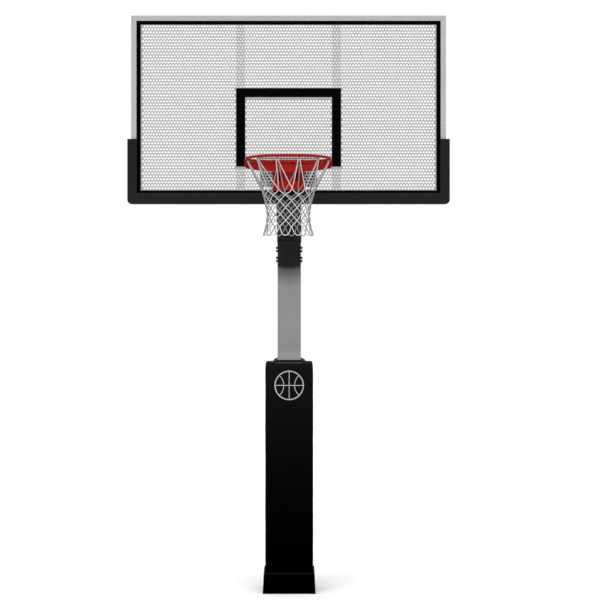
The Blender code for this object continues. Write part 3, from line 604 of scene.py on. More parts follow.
def hole_allowed(x, z):
    """True where a whole hole fits between the painted border and the target bars."""
    room = HOLE_RADIUS + HOLE_MARGIN
    wide = abs(x)
    if wide + room > BORDER_X or z + room > BORDER_TOP or z - room < BORDER_BOTTOM:
        return False
    in_outer = wide - room < TARGET_HALF and TARGET_BOTTOM - room < z < TARGET_TOP + room
    in_hollow = wide + room < TARGET_HALF - TARGET_BAR and z + room < TARGET_TOP - TARGET_BAR
    return not in_outer or in_hollow


def panel_cells():
    """Every cell of the staggered pattern: centre, outline in lattice steps, and whether it has a hole."""
    middle = (panel_low.z + panel_high.z) / 2
    rows = math.ceil((panel_high.z - panel_low.z) / HOLE_PITCH) // 2 * 2 + 1
    columns = math.ceil((panel_high.x - panel_low.x) / 2 / HOLE_PITCH) + 1
    for row in range(rows):
        level = 2 * row - (rows - 1)
        for column in range(-columns, columns + 1):
            centre = 4 * column + 2 * (row % 2)
            outline = [(centre + 2, level)]
            outline += [(centre + step, level + 1) for step in (2, 1, 0, -1, -2)]
            outline += [(centre - 2, level)]
            outline += [(centre + step, level - 1) for step in (-2, -1, 0, 1, 2)]
            spots = []
            for across, up in outline:
                x = min(max(across * HOLE_PITCH / 4, panel_low.x), panel_high.x)
                z = min(max(middle + up * HOLE_PITCH / 2, panel_low.z), panel_high.z)
                spots.append((round(x, 6), round(z, 6)))
            x = centre * HOLE_PITCH / 4
            z = middle + level * HOLE_PITCH / 2
            yield x, z, spots, hole_allowed(x, z)


def build_panel():
    width = (panel_high.x - panel_low.x) / PANEL_STRIPS
    strips = [[] for _ in range(PANEL_STRIPS)]
    for cell in panel_cells():
        strip = int((cell[0] - panel_low.x) / width)
        strips[min(max(strip, 0), PANEL_STRIPS - 1)].append(cell)
    for number, cells in enumerate(strips, 1):
        points = {}
        faces = []
        for x, z, spots, holed in cells:
            loop = [points.setdefault(spot, len(points)) for spot in spots]
            after = loop[1:] + loop[:1]
            if holed:
                hole = []
                for step in range(len(loop)):
                    angle = math.tau * step / len(loop)
                    spot = (x + HOLE_RADIUS * math.cos(angle), z + HOLE_RADIUS * math.sin(angle))
                    hole.append(points.setdefault(spot, len(points)))
                faces += zip(loop, after, hole[1:] + hole[:1], hole)
            else:
                ring = [a for a, b in zip(loop, after) if a != b]
                if len(ring) > 2 and min(max(side) - min(side) for side in zip(*spots)) > 1e-5:
                    faces.append(tuple(ring))
        count = len(points)
        used = {(a, b) for face in faces for a, b in zip(face, face[1:] + face[:1])}
        walls = sorted((a, b, b + count, a + count) for a, b in used if (b, a) not in used)
        vertices = [(x, y, z) for y in (panel_low.y, panel_high.y) for x, z in points]
        backs = [tuple(index + count for index in reversed(face)) for face in faces]
        raw = bpy.data.meshes.new("raw_strip")
        raw.from_pydata(vertices, [], faces + backs + walls)
        raw.validate()
        bm = bmesh.new()
        bm.from_mesh(raw)
        bpy.data.meshes.remove(raw)
        nodes = ("perforated_panel",) if number == 1 else ()
        add_piece(f"panel_strip_{number}", bm, panel_look, FIXED, "panel_sheet", nodes)


# ---- rim ----

def around_ring(radius, angle, z):
    """A point about the ring's centre; angle 0 looks at the board."""
    return Vector((radius * math.sin(angle), RING_Y + radius * math.cos(angle), z))


def hook_places():
    """Each hook's angle, and the direction along the rod there."""
    for number in range(HOOKS):
        angle = math.tau * (number + 0.5) / HOOKS
        yield angle, Vector((math.cos(angle), -math.sin(angle), 0))


def build_ring():
    circle = [around_ring(RING_RADIUS, math.tau * step / 144, RING_Z) for step in range(144)]
    tubes("ring_hoop", [circle], ROD, 20, rod_look, MOVING, True, slot="red_paint", replaces=("ring_rod",))
    eyes = []
    roots = []
    for angle, across in hook_places():
        points = [around_ring(RING_RADIUS + out * MM, angle, RING_Z + up * MM) for out, up in EYE_OUTLINE]
        eyes.append(smooth_line(points, 5))
        for out in (0.6, -6.6):
            centre = around_ring(RING_RADIUS + out * MM, angle, RING_Z - 7.6 * MM)
            roots.append([centre - across * 3.4 * MM, centre, centre + across * 3.4 * MM])
    tubes("net_eyes", eyes, 2.3 * MM, 10, rod_look, MOVING, slot="red_paint")
    bead("bead_net_eyes", roots, 1.7 * MM, red_bead_look, MOVING, "red_paint")


def build_brace():
    """A rolled flat bar with rounded edges, and its weld to the rod above."""
    half_thick = 2.5 * MM
    corner = 1.3 * MM
    reach = math.radians(92)
    section = []
    for sx, sz, start in ((1, 1, 0), (-1, 1, 90), (-1, -1, 180), (1, -1, 270)):
        cx = sx * (half_thick - corner)
        cz = brace_high.z - corner if sz > 0 else brace_low.z + corner
        for step in range(4):
            angle = math.radians(start + 30 * step)
            section.append((cx + corner * math.cos(angle), cz + corner * math.sin(angle)))
    bm = bmesh.new()
    rows = []
    steps = 96
    middle = (brace_low.z + brace_high.z) / 2
    for step in range(steps + 1):
        angle = -reach + 2 * reach * step / steps
        rise = BRACE_TAPER * (1 - math.cos(angle))
        rows.append([bm.verts.new(around_ring(BRACE_RADIUS + out, angle, z + (rise if z < middle else 0.0)))
                     for out, z in section])
    grid_faces(bm, rows, closed=True)
    close_ends(bm, rows)
    add_piece("brace_bar", bm, red_look, MOVING, "red_paint", ("ring_brace",))
    runs = []
    for start in range(-84, 84, 24):
        turns = [math.radians(start + 14 * step / 8) for step in range(9)]
        runs.append([around_ring(BRACE_RADIUS - 3.6 * MM, turn, brace_high.z - 0.2 * MM) for turn in turns])
    bead("bead_brace", runs, 2.2 * MM, red_bead_look, MOVING, "red_paint")


def build_bracket():
    carried("rim_bracket", red_look, 1.6 * MM)
    carried("rim_back_plate", red_look, 1.4 * MM)
    nose = []
    half = bracket_high.x
    for step in range(13):
        x = -half + 2 * half * step / 12
        out = math.sqrt((RING_RADIUS + ROD) ** 2 - x ** 2)
        nose.append(Vector((x, RING_Y + out + 0.3 * MM, bracket_high.z - 6.5 * MM)))
    bead("bead_bracket", [nose], 3.0 * MM, red_bead_look, MOVING, "red_paint")
    front = plate_high.y - 8.6 * MM
    feet = [[Vector((side * x * MM, front, plate_low.z + rise * MM)) for rise in (15, 78, 138)]
            for side in (-1, 1) for x in (54.4, 60.2)]
    bead("bead_ears", feet, 2.0 * MM, red_bead_look, FIXED, "red_paint")


def build_springs():
    wire = 2.6 * MM
    turns = 7
    steps = turns * 28
    dead_turns = 0.9
    coil_rise = 2 * wire * 0.92
    for side in ("left", "right"):
        node = f"rim_spring_{side}"
        low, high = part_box(node)
        middle = (low + high) / 2
        radius = (high.x - low.x) / 2 - wire
        rise = (high.z - low.z) - 2 * wire - coil_rise * 2 * dead_turns
        route = []
        for step in range(steps + 1):
            turn = turns * step / steps
            body = min(max((turn - dead_turns) / (turns - 2 * dead_turns), 0.0), 1.0)
            settle = min(turn, dead_turns) + max(turn - turns + dead_turns, 0.0)
            x = middle.x + radius * math.cos(math.tau * turn)
            y = middle.y + radius * math.sin(math.tau * turn)
            route.append(Vector((x, y, low.z + wire + coil_rise * settle + rise * body)))
        coil = tubes(f"coil_{side}", [route], wire * 0.98, 12, spring_look, FIXED, slot="spring_steel",
                     replaces=(node,))
        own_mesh(coil)


# ---- net ----

def net_radius(z):
    for (upper, wide), (lower, narrow) in zip(NET_PROFILE, NET_PROFILE[1:]):
        if z >= lower:
            share = min(1.0, (upper - z) / (upper - lower))
            return wide + (narrow - wide) * share
    return NET_PROFILE[-1][1]


def net_place(z, angle, shift=0.0):
    """A point of the net: it turns a little down to its first knots and hangs lower away from the board."""
    fall = (net_high.z - z) / (net_high.z - net_low.z)
    lean = NET_LEAN * (math.cos(angle) - 1) * fall ** 2
    z = max(z + lean + NET_LEAN, net_low.z + CORD_RADIUS) if fall > 0.5 else z + lean + NET_LEAN * fall
    turned = NET_TWIST * min(1.0, (net_high.z - z) / (net_high.z - NET_FIRST_ROW))
    return around_ring(net_radius(z) - 3.4 * MM + shift, angle + turned, z)


def row_height(row):
    return NET_FIRST_ROW - NET_ROW_STEP * (row - 1)


def strand(start, side):
    """One half of a hook's cord, from beside the hook down to the middle of a bottom scallop."""
    step = side * math.tau / HOOKS / 2
    points = []
    for row in range(1, NET_ROWS + 1):
        wobble = random.uniform(-1, 1) * 0.9 * MM
        over = 1.4 * MM * side * (-1) ** row
        points.append(net_place(row_height(row) + wobble, start + step * row, over))
    last = row_height(NET_ROWS)
    drop = net_low.z + CORD_RADIUS - last
    for share, fall in ((0.34, 0.52), (0.68, 0.88), (1.0, 1.0)):
        points.append(net_place(last + drop * fall, start + step * (NET_ROWS + share)))
    return points


def build_net():
    cords = []
    for angle, across in hook_places():
        top = [around_ring(RING_RADIUS - inward * MM, angle, RING_Z - drop * MM) + across * aside * MM
               for aside, drop, inward in HOOK_WRAP]
        cords.append(smooth_line(strand(angle, -1)[::-1] + top + strand(angle, 1), 7))
    tubes("net_cords", cords, CORD_RADIUS, 8, cord_look, MOVING, slot="net_cord", replaces=("net",))
    knots = []
    size = 1.75 * MM
    steps = 27
    for row in range(1, NET_ROWS + 1):
        for place in range(HOOKS):
            centre = net_place(row_height(row), math.tau * (place + 0.5 + 0.5 * (row % 2)) / HOOKS)
            outward = (centre - Vector((0, RING_Y, centre.z))).normalized()
            across = Vector((outward.y, -outward.x, 0))
            turn = random.uniform(0, math.tau)
            line = []
            for step in range(steps):
                t = math.tau * step / steps
                a = (math.sin(t) + 2 * math.sin(2 * t)) * size
                b = (math.cos(t) - 2 * math.cos(2 * t)) * size
                c = -math.sin(3 * t) * size * 1.3
                flat_a = a * math.cos(turn) - b * math.sin(turn)
                flat_b = a * math.sin(turn) + b * math.cos(turn)
                line.append(centre + across * flat_a * 0.62 + Vector((0, 0, flat_b * 0.85)) + outward * c)
            knots.append(line)
    tubes("net_knots", knots, 1.9 * MM, 6, cord_look, MOVING, True, slot="net_cord")


# ---- board pad ----

def corner_path(half, bottom, top, radius, arc_steps, side_steps, base_steps):
    """Down the left side, round the lower corners and up the right side, as (x, z)."""
    path = []
    for step in range(side_steps):
        path.append((-half, top + (bottom + radius - top) * step / side_steps))
    for step in range(arc_steps + 1):
        angle = math.pi + math.pi / 2 * step / arc_steps
        path.append((-half + radius + radius * math.cos(angle), bottom + radius + radius * math.sin(angle)))
    for step in range(1, base_steps):
        path.append((-half + radius + (2 * (half - radius)) * step / base_steps, bottom))
    right = [(-x, z) for x, z in path[:side_steps + arc_steps + 1]]
    return path + right[::-1]


def quarter(steps, radius):
    """A quarter turn as pairs: radius less its cosine, and radius less its sine."""
    turns = [math.radians(90 * step / steps) for step in range(steps + 1)]
    return [(radius * (1 - math.cos(turn)), radius * (1 - math.sin(turn))) for turn in turns]


def build_board_pad():
    """Moulded pad: a C section carried round the lower part of the board, with soft edges."""
    front, back = board_pad_low.y, board_pad_high.y
    half, bottom, top = board_pad_high.x, board_pad_low.z, board_pad_high.z
    snug = max(rail_high.x, -rail_low.x) + 0.3 * MM
    cover = 34.8 * MM
    counts = (10, 14, 60)
    outer = corner_path(half, bottom, top, 25 * MM, *counts)
    middle = corner_path(snug, rail_low.z - 0.3 * MM, top, 2 * MM, *counts)
    inner = corner_path(snug - cover, rail_low.z + 35.5 * MM, top, 6 * MM, *counts)
    face_front = rail_low.y - 0.3 * MM
    face_back = rail_high.y + 0.3 * MM
    wall = half - snug
    corner = quarter(6, 7.5 * MM)
    lip = quarter(4, 4 * MM)
    section = [(across / wall, front + deep) for across, deep in corner]
    section += [(f, front + rise * MM) for f, rise in ((0.70, 0.15), (1.05, 0.0), (1.40, 0.1), (1.70, 0.5))]
    section += [(2 - across / cover, front + 0.8 * MM + deep) for deep, across in lip]
    section += [(2.0, face_front), (1.5, face_front), (1.0, face_front), (1.0, (face_front + face_back) / 2),
                (1.0, face_back), (1.5, face_back), (2.0, face_back)]
    section += [(2 - across / cover, back - deep) for deep, across in lip[::-1]]
    section += [(1.5, back), (1.0, back)]
    section += [(across / wall, back - deep) for across, deep in corner[::-1]]
    section.append((0.0, (front + back) / 2))
    bm = bmesh.new()
    rows = []
    for a, b, c in zip(outer, middle, inner):
        row = []
        for f, y in section:
            near, far, share = (a, b, f) if f <= 1 else (b, c, f - 1)
            row.append(bm.verts.new((near[0] + (far[0] - near[0]) * share, y,
                                     near[1] + (far[1] - near[1]) * share)))
        rows.append(row)
    grid_faces(bm, rows, closed=True)
    caps = close_ends(bm, rows)
    bmesh.ops.recalc_face_normals(bm, faces=bm.faces)
    bmesh.ops.bevel(bm, geom=[e for cap in caps for e in cap.edges], offset=2.2 * MM, segments=3,
                    profile=0.5, affect="EDGES", clamp_overlap=True)
    pad = add_piece("board_edge_pad", bm, foam_look, FIXED, "board_pad_foam", ("board_pad",))


# ---- pole pad ----

SKIRT_COVER = 50 * MM
PAD_STAND = 2.2 * MM
PAD_CAP = 2.6 * MM
COLLAR_DIP = 0.45
CLOTH_FRAMES = 20
SIDE_STEPS = 13
CORNER_STEPS = 5


def square_outline(half, rounding, slit, per_side=SIDE_STEPS, per_corner=CORNER_STEPS):
    """Round the post from one side of the rear slit to the other, as (x, y)."""
    straight = half - rounding
    points = [(slit + (straight - slit) * step / per_side, half) for step in range(per_side)]
    turned = []
    for step in range(per_corner + 1):
        angle = math.radians(90 - 90 * step / per_corner)
        turned.append((straight + rounding * math.cos(angle), straight + rounding * math.sin(angle)))
    turned += [(half, straight - straight * step / per_side) for step in range(1, 2 * per_side)]
    for corner in range(4):
        points += turned if corner < 3 else turned[:per_corner + 1]
        turned = [(y, -x) for x, y in turned]
    points += [(-straight + (straight - slit) * step / per_side, half) for step in range(1, per_side + 1)]
    return points


def soft_offset(x, y, z, bottom, top):
    """How far the slack cover stands out from a flat box before it is filled."""
    ends = min(1.0, max(0.0, min(z - bottom - SKIRT_COVER, top - z) / (60 * MM)))
    slack = 0.0
    for scale, size, seed in ((6.0, 0.6, 1.7), (17.0, 0.3, 9.1)):
        slack += size * MM * (math.sin(scale * z * 2.1 + seed + 5 * x) * math.cos(scale * (x + y) + seed * z))
    return (PAD_STAND + slack) * ends - 1.0 * MM


def inflate(piece, held, cap):
    """Fill a cover with air by cloth simulation. Held points stay; the others move no more than the cap."""
    mesh = piece.data
    rest = [vertex.co.copy() for vertex in mesh.vertices]
    group = piece.vertex_groups.new(name="held")
    group.add(held, 1.0, "REPLACE")
    cloth = piece.modifiers.new("Cloth", "CLOTH")
    for key, value in {"quality": 4, "mass": 0.3, "tension_stiffness": 12, "compression_stiffness": 12,
                       "shear_stiffness": 4, "bending_stiffness": 2, "vertex_group_mass": "held",
                       "use_pressure": True, "uniform_pressure_force": 4}.items():
        setattr(cloth.settings, key, value)
    cloth.settings.effector_weights.gravity = 0
    cloth.collision_settings.use_collision = False
    cloth.point_cache.frame_start = 1
    cloth.point_cache.frame_end = CLOTH_FRAMES
    scene = bpy.context.scene
    for number in range(1, CLOTH_FRAMES + 1):
        scene.frame_set(number)
    filled = piece.evaluated_get(bpy.context.evaluated_depsgraph_get()).to_mesh()
    for vertex, start, end in zip(mesh.vertices, rest, filled.vertices):
        move = end.co - start
        if move.length > 1e-7:
            vertex.co = start + move.normalized() * cap * (1 - math.exp(-move.length / cap))
    piece.evaluated_get(bpy.context.evaluated_depsgraph_get()).to_mesh_clear()
    piece.modifiers.remove(cloth)
    piece.vertex_groups.remove(group)
    scene.frame_set(1)
    mesh.update()


def build_pole_pad():
    """Foam sleeve in a vinyl cover: crowned faces, rounded corners and hems, slit at the back."""
    bottom, top = pole_pad_low.z, pole_pad_high.z
    half = pole_pad_high.x
    outline = square_outline(half, 12 * MM, 2 * MM)
    core = square_outline(POLE_HALF + 0.4 * MM, 1 * MM, 2 * MM)
    lip = 7 * MM
    hem = quarter(5, lip)
    rows_between = 110
    levels = [(bottom + up, inset) for up, inset in hem]
    for step in range(1, rows_between):
        levels.append((bottom + lip + (top - bottom - 2 * lip) * step / rows_between, 0.0))
    levels += [(top - down, inset) for down, inset in hem[::-1]]
    bm = bmesh.new()
    rows = []
    for z, inset in levels:
        row = []
        for x, y in outline:
            scale = (half - inset + soft_offset(x, y, z, bottom, top)) / half
            keep = x if abs(x) < 5 * MM else x * scale
            row.append(bm.verts.new((keep, y * scale, z)))
        rows.append(row)
    for share in (1.0, 0.5, 0.0):
        rows.append([bm.verts.new((x, y, bottom + (top - bottom) * share)) for x, y in core])
    grid_faces(bm, rows + rows[:1])
    for end in (0, -1):
        bm.faces.new([row[end] for row in rows])
    around = len(outline)
    ends = 5
    pitch = CORNER_STEPS + 2 * SIDE_STEPS
    seams = [SIDE_STEPS + corner * pitch + step for corner in range(4) for step in (2, 3)]
    held = list(range(len(levels) * around, (len(levels) + 3) * around))
    for level in range(len(levels)):
        fixed = range(around) if level < ends or level >= len(levels) - ends else [0, around - 1] + seams
        held += [level * around + place for place in fixed]
    pad = add_piece("post_pad", bm, vinyl_look, FIXED, "pad_vinyl", ("pole_pad",), sharp=50)
    inflate(pad, held, PAD_CAP)
    finer = pad.modifiers.new("Subdivision", "SUBSURF")
    finer.levels = 1
    finer.render_levels = 1
    return pad


def stitch_rows(name, routes, pitch, length, thick, body, slot):
    """Rows of single stitches: short rounded threads lying on the cover."""
    bm = bmesh.new()
    for route, outward in routes:
        total = sum((b - a).length for a, b in zip(route, route[1:]))
        count = int(total / pitch)
        line = resample(route, count * 4)
        for number in range(count):
            a = line[number * 4]
            along = (line[number * 4 + 4] - a).normalized()
            middle = (a + line[number * 4 + 4]) / 2 + outward(a) * thick * 0.3
            points = []
            for share in (0.0, 0.2, 0.5, 0.8, 1.0):
                dip = outward(a) * thick * 1.4 * (2 * share - 1) ** 4
                points.append(middle + along * length * (share - 0.5) - dip)
            sweep(bm, points, lambda share: thick * (0.55 + 0.45 * math.sin(math.pi * share)), 6)
    return add_piece(name, bm, thread_look, body, slot, sharp=80)


def flat_outward(point):
    return Vector((point[0], point[1], 0)).normalized()


def build_pad_trim(pad):
    """Hems, stitches, the generic ball print and the piping on the pole pad."""
    tree = BVHTree.FromObject(pad, bpy.context.evaluated_depsgraph_get())
    bottom, top = pole_pad_low.z, pole_pad_high.z
    half = pole_pad_high.x

    def on_cover(x, y, z):
        """The cover's surface, found by looking inwards from outside."""
        spot = Vector((x, y, z))
        hit = tree.ray_cast(spot + flat_outward(spot) * 0.1, -flat_outward(spot))
        return hit[0] if hit[0] else spot

    outline = square_outline(half, 12 * MM, 9 * MM)
    hem = [([on_cover(x, y, z) for x, y in outline], flat_outward)
           for z in (bottom + 20 * MM, bottom + 23.5 * MM, top - 20 * MM, top - 23.5 * MM)]
    stitch_rows("pad_hem_stitches", hem, 5.2 * MM, 4.0 * MM, 0.55 * MM, FIXED, "pad_vinyl")
    welts = []
    for side_x, side_y in ((-1, -1), (-1, 1), (1, -1), (1, 1)):
        line = []
        for step in range(60):
            z = bottom + 9 * MM + (top - bottom - 18 * MM) * step / 59
            line.append(on_cover(side_x * half, side_y * half, z) - Vector((side_x, side_y, 0)) * 0.8 * MM)
        welts.append(line)
    ring = square_outline(half - 1.2 * MM, 12 * MM, 9 * MM)
    hems = [[on_cover(x, y, z) - flat_outward((x, y)) * 1.1 * MM for x, y in ring]
            for z in (bottom + 10 * MM, top - 3.4 * MM)]
    tubes("pad_piping", welts + hems[:1], 2.0 * MM, 8, collar_look, FIXED, slot="pad_vinyl")
    tubes("pad_top_piping", hems[1:], 2.2 * MM, 8, welt_look, FIXED, slot="pad_vinyl")
    build_emblem(tree, -half)


def build_emblem(tree, face):
    """A plain ball outline printed on the pad: a circle and the four seams of any basketball."""
    middle = pole_pad_high.z - 149 * MM
    radius = 92 * MM
    bend = radius * 0.92
    steps = 72
    turns = [math.tau * k / steps for k in range(steps + 1)]
    circle = [(radius * math.cos(turn), radius * math.sin(turn)) for turn in turns]
    across = [radius * (k / 12 - 1) for k in range(25)]
    seams = [[(0, spot) for spot in across], [(spot, 0) for spot in across]]
    for side in (-1, 1):
        turns = [math.radians(-52 + 104 * k / 24) for k in range(25)]
        seams.append([(side * (radius * 1.30 - bend * math.cos(turn)), bend * math.sin(turn))
                      for turn in turns])
    bm = bmesh.new()
    for points, width in [(circle, 7.0 * MM)] + [(seam, 4.6 * MM) for seam in seams]:
        rows = []
        for index, (x, z) in enumerate(points):
            if points is circle:
                before, after = points[(index - 1) % steps], points[(index + 1) % steps]
            else:
                before, after = points[max(index - 1, 0)], points[min(index + 1, len(points) - 1)]
            along = (Vector(after) - Vector(before)).normalized()
            side = Vector((-along.y, along.x)) * width / 2
            row = []
            for share, lift in ((-1, -0.4), (-0.94, 0.45), (0, 0.5), (0.94, 0.45), (1, -0.4)):
                start = Vector((x + side.x * share, face - 0.2, middle + z + side.y * share))
                spot = tree.ray_cast(start, Vector((0, 1, 0)))[0]
                row.append(bm.verts.new(spot + Vector((0, -lift * MM, 0))))
            rows.append(row)
        grid_faces(bm, rows, closed=True)
        close_ends(bm, rows)
    add_piece("ball_print", bm, print_look, FIXED)


def build_collar():
    """A quilted square collar that closes the top of the pad against the pole."""
    low_half, top_half = collar_high.x, 82 * MM
    inner = POLE_HALF + 0.4 * MM
    height = collar_high.z - collar_low.z
    section = [(inner, collar_low.z + 0.3 * MM), (low_half - 2 * MM, collar_low.z + 0.3 * MM)]
    for step in range(9):
        share = step / 8
        bulge = 3.2 * MM * math.sin(math.pi * share)
        section.append((low_half + (top_half - low_half) * share + bulge * 0.6,
                        collar_low.z + 1.5 * MM + (height - 2.5 * MM) * share + bulge * 0.4))
    section.append((inner, collar_high.z))
    bm = bmesh.new()
    rows = []
    for half, z in section:
        row = []
        for x, y in square_outline(half, min(9 * MM, half - inner + 1.5 * MM), 0.0, 10, 6)[:-1]:
            ahead = min(1.0, max(0.0, (-y - 0.45 * POLE_HALF) / (0.5 * POLE_HALF)))
            row.append(bm.verts.new((x, y, collar_low.z + (z - collar_low.z) * (1 - COLLAR_DIP * ahead))))
        rows.append(row)
    grid_faces(bm, rows + rows[:1], closed=True)
    collar = add_piece("pad_top_collar", bm, collar_look, FIXED, "pad_vinyl", ("pad_collar",), sharp=50)


def outward_at_back(_point):
    return Vector((0, 1, 0))


def build_straps():
    """Hook-and-loop straps over the rear slit, each with a folded tab and box stitching."""
    stitches = []
    across, up = 48, 12
    for number in (1, 2, 3):
        low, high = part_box(f"pad_strap_{number}")
        wide = high.x - low.x
        bm = bmesh.new()
        rims = []
        for outside in (False, True):
            rows = []
            for row in range(up + 1):
                z = low.z + (high.z - low.z) * row / up
                line = []
                for column in range(across + 1):
                    share = column / across
                    end = min(share, 1 - share) * wide
                    round_off = max(0.0, 1 - end / (8 * MM)) ** 2 * 6 * MM
                    level = min(max(z, low.z + round_off), high.z - round_off)
                    wave = 0.35 * MM * math.sin(9 * share * math.pi) + 0.5 * MM
                    thick = wave + (1.9 * MM if share < 0.62 else 3.2 * MM)
                    y = low.y + 0.2 * MM + (thick if outside else 0.0)
                    line.append(bm.verts.new((low.x + wide * share, y, level)))
                rows.append(line)
            grid_faces(bm, rows)
            rims.append(outline_of(rows))
        grid_faces(bm, rims, closed=True)
        bmesh.ops.remove_doubles(bm, verts=bm.verts, dist=0.01 * MM)
        bmesh.ops.dissolve_degenerate(bm, dist=0.005 * MM, edges=bm.edges)
        add_piece(f"closure_strap_{number}", bm, strap_look, FIXED, "strap_webbing", (f"pad_strap_{number}",))
        left, right = low.x + 7 * MM, low.x + 38 * MM
        down, over = low.z + 6 * MM, high.z - 6 * MM
        box = [Vector((x, low.y + 2.75 * MM, z))
               for x, z in ((left, down), (right, down), (right, over), (left, over), (left, down))]
        stitches += [(line, outward_at_back) for line in (box, [box[0], box[2]], [box[1], box[3]])]
    stitch_rows("strap_stitches", stitches, 4.2 * MM, 3.3 * MM, 0.5 * MM, FIXED, "strap_webbing")


def outline_of(rows):
    """The rim of a grid of vertices, in order."""
    rim = rows[0] + [row[-1] for row in rows[1:]]
    return rim + rows[-1][-2::-1] + [row[0] for row in rows[-2:0:-1]]


# ---- welds on the frame ----

def build_welds():
    lines = []

    def weld(*ends):
        lines.append([Vector(end) for end in ends])

    for side in ("left", "right"):
        low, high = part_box(f"rear_upright_{side}")
        for z in (low.z + 0.4 * MM, high.z - 0.4 * MM):
            weld((low.x + 1 * MM, high.y - 0.2 * MM, z), (high.x - 1 * MM, high.y - 0.2 * MM, z))
            for x in (low.x, high.x):
                weld((x, low.y + 3 * MM, z), (x, high.y - 1 * MM, z))
        x = high.x if side == "left" else low.x
        for cross in ("rear_cross_lower", "rear_cross_upper"):
            low_c, high_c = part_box(cross)
            for z in (low_c.z, high_c.z):
                weld((x, low_c.y + 3 * MM, z), (x, high_c.y - 1 * MM, z))
            weld((x, high_c.y - 0.2 * MM, low_c.z + 1 * MM), (x, high_c.y - 0.2 * MM, high_c.z - 1 * MM))
    bead("bead_board_frame", lines, 2.4 * MM, silver_bead_look, FIXED, "light_metal")
    tall = 78.2 * MM
    corners = [(-POLE_HALF, -1), (POLE_HALF, -1), (POLE_HALF, 1), (-POLE_HALF, 1)]
    front = [Vector((x, flange_high.y + 0.4 * MM, arm_high.z - tall + side * tall)) for x, side in corners]
    back = [Vector((x, -POLE_HALF - 0.6 * MM, arm_low.z + tall + side * tall)) for x, side in corners]
    foot = [Vector((x, side * POLE_HALF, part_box("base_plate")[1].z + 0.4 * MM)) for x, side in corners]
    bead("bead_arm", [rounded(front), rounded(back)], 3.4 * MM, black_bead_look, FIXED, "black_paint", True)
    bead("bead_base", [rounded(foot)], 4.0 * MM, grey_bead_look, FIXED, "grey_paint", True)


def rounded(corners, cut=5 * MM):
    """A closed outline with its corners cut back, for a bead that turns round a tube."""
    points = []
    for index, corner in enumerate(corners):
        for other in (corners[index - 1], corners[(index + 1) % len(corners)]):
            points.append(corner + (other - corner).normalized() * cut)
    return points


# ---- put it together ----

random.seed(7)
for finish, rounding, nodes in (
        (frame_look, 1.6, ("board_rail_top", "board_rail_bottom", "board_rail_left", "board_rail_right")),
        (upright_look, 1.6, ("rear_upright_left", "rear_upright_right",
                             "rear_cross_lower", "rear_cross_upper")),
        (arm_look, 2.2, ("arm_post", "arm_flange")),
        (tube_look, 2.2, ("arm_tube",)),
        (arm_look, 1.2, ("post_cap",)),
        (pole_look, 2.4, ("pole",)),
        (steel_look, 0.8, ("splice_sleeve",)),
        (steel_look, 1.2, ("base_plate",)),
        (zinc_look, 0.8, ("hinge_pin", *(f"anchor_stud_{number}" for number in (1, 2, 3, 4)))),
        (zinc_look, 0.5, ("rim_spacer_left", "rim_spacer_right")),
        (zinc_look, 1.0, [f"anchor_nut_{number}" for number in (1, 2, 3, 4)]),
        (oxide_look, 0.8, [f"splice_{kind}_{number}" for kind in ("bolt", "nut") for number in (1, 2, 3, 4)]),
        (oxide_look, 0.7, [f"rim_bolt_{number}" for number in (1, 2, 3, 4)]),
        (plastic_look, 1.4, ("skirt_front", "skirt_rear"))):
    for node in nodes:
        carried(node, finish, rounding * MM)

build_panel()
build_ring()
build_brace()
build_bracket()
build_springs()
build_net()
build_board_pad()
post_pad = build_pole_pad()
bpy.context.view_layer.update()
build_pad_trim(post_pad)
build_collar()
build_straps()
build_welds()


# ---- stage ----

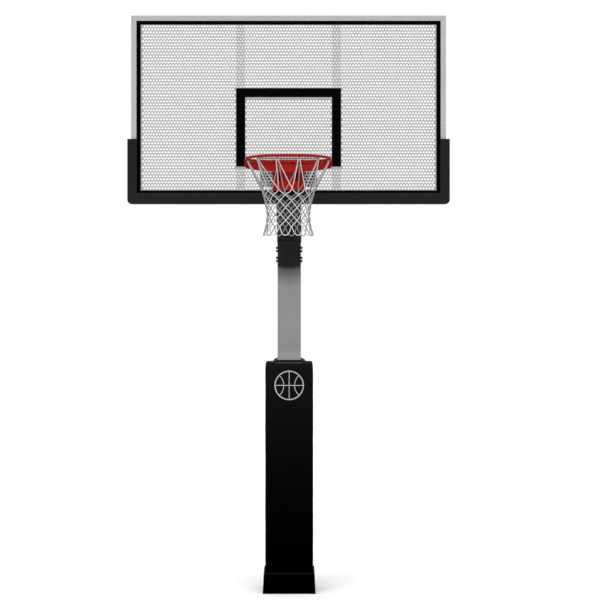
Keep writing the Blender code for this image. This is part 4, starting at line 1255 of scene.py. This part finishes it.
def build_floor():
    bm = bmesh.new()
    steps = 24
    size = 60.0
    marks = [-size / 2 + size * step / steps for step in range(steps + 1)]
    grid_faces(bm, [[bm.verts.new((x, y, -0.2 * MM)) for x in marks] for y in marks])
    mesh = bpy.data.meshes.new("studio_floor")
    bm.to_mesh(mesh)
    bm.free()
    look = Look("floor_white", Specular_IOR_Level=0.1)
    mesh.materials.append(look.done(look.mix(look.noise(0.8, 4.0), grey(0.96), grey(0.975)), 0.85))
    placed("studio_floor", mesh)


def build_sun(energy, spread, toward):
    data = bpy.data.lights.new("soft_sun", "SUN")
    data.energy = energy
    data.angle = spread
    light = placed("soft_sun", data)
    light.rotation_euler = Vector(toward).to_track_quat("-Z", "Y").to_euler()


DOME_FRONT = 0.35
DOME_REAR = 0.75


def build_world():
    """White behind the object, and a softer studio dome for light and reflections."""
    world = bpy.data.worlds.new("studio")
    world.use_nodes = True
    bpy.context.scene.world = world
    nodes, links = world.node_tree.nodes, world.node_tree.links
    nodes.clear()
    out, mixer, path, dome, white, direction, parts, ramp = (nodes.new("ShaderNode" + kind) for kind in (
        "OutputWorld", "MixShader", "LightPath", "Background", "Background", "TexCoord", "SeparateXYZ",
        "MapRange"))
    for background in (dome, white):
        background.inputs["Color"].default_value = (1, 1, 1, 1)
    white.inputs["Strength"].default_value = 1.0
    for socket, value in zip(ramp.inputs[1:5], (-0.9, 0.7, DOME_FRONT, DOME_REAR)):
        socket.default_value = value
    links.new(direction.outputs["Generated"], parts.inputs[0])
    links.new(parts.outputs[1], ramp.inputs[0])
    links.new(ramp.outputs[0], dome.inputs["Strength"])
    links.new(path.outputs["Is Camera Ray"], mixer.inputs[0])
    links.new(dome.outputs[0], mixer.inputs[1])
    links.new(white.outputs[0], mixer.inputs[2])
    links.new(mixer.outputs[0], out.inputs[0])


def build_camera():
    """Level with the horizon, straight in front, framed by a small shift."""
    data = bpy.data.cameras.new("camera")
    data.sensor_width = 36.0
    data.lens = 108.48
    data.shift_x = 0.0093
    data.clip_end = 200.0
    camera = placed("camera", data)
    camera.location = (0.034, -11.896, 1.9065)
    camera.rotation_euler = (math.radians(90), 0, 0)
    bpy.context.scene.camera = camera


build_floor()
build_sun(2.7, math.radians(50), (0.05, 0.60, -1.0))
build_world()
build_camera()
bpy.context.scene.view_settings.view_transform = "Standard"
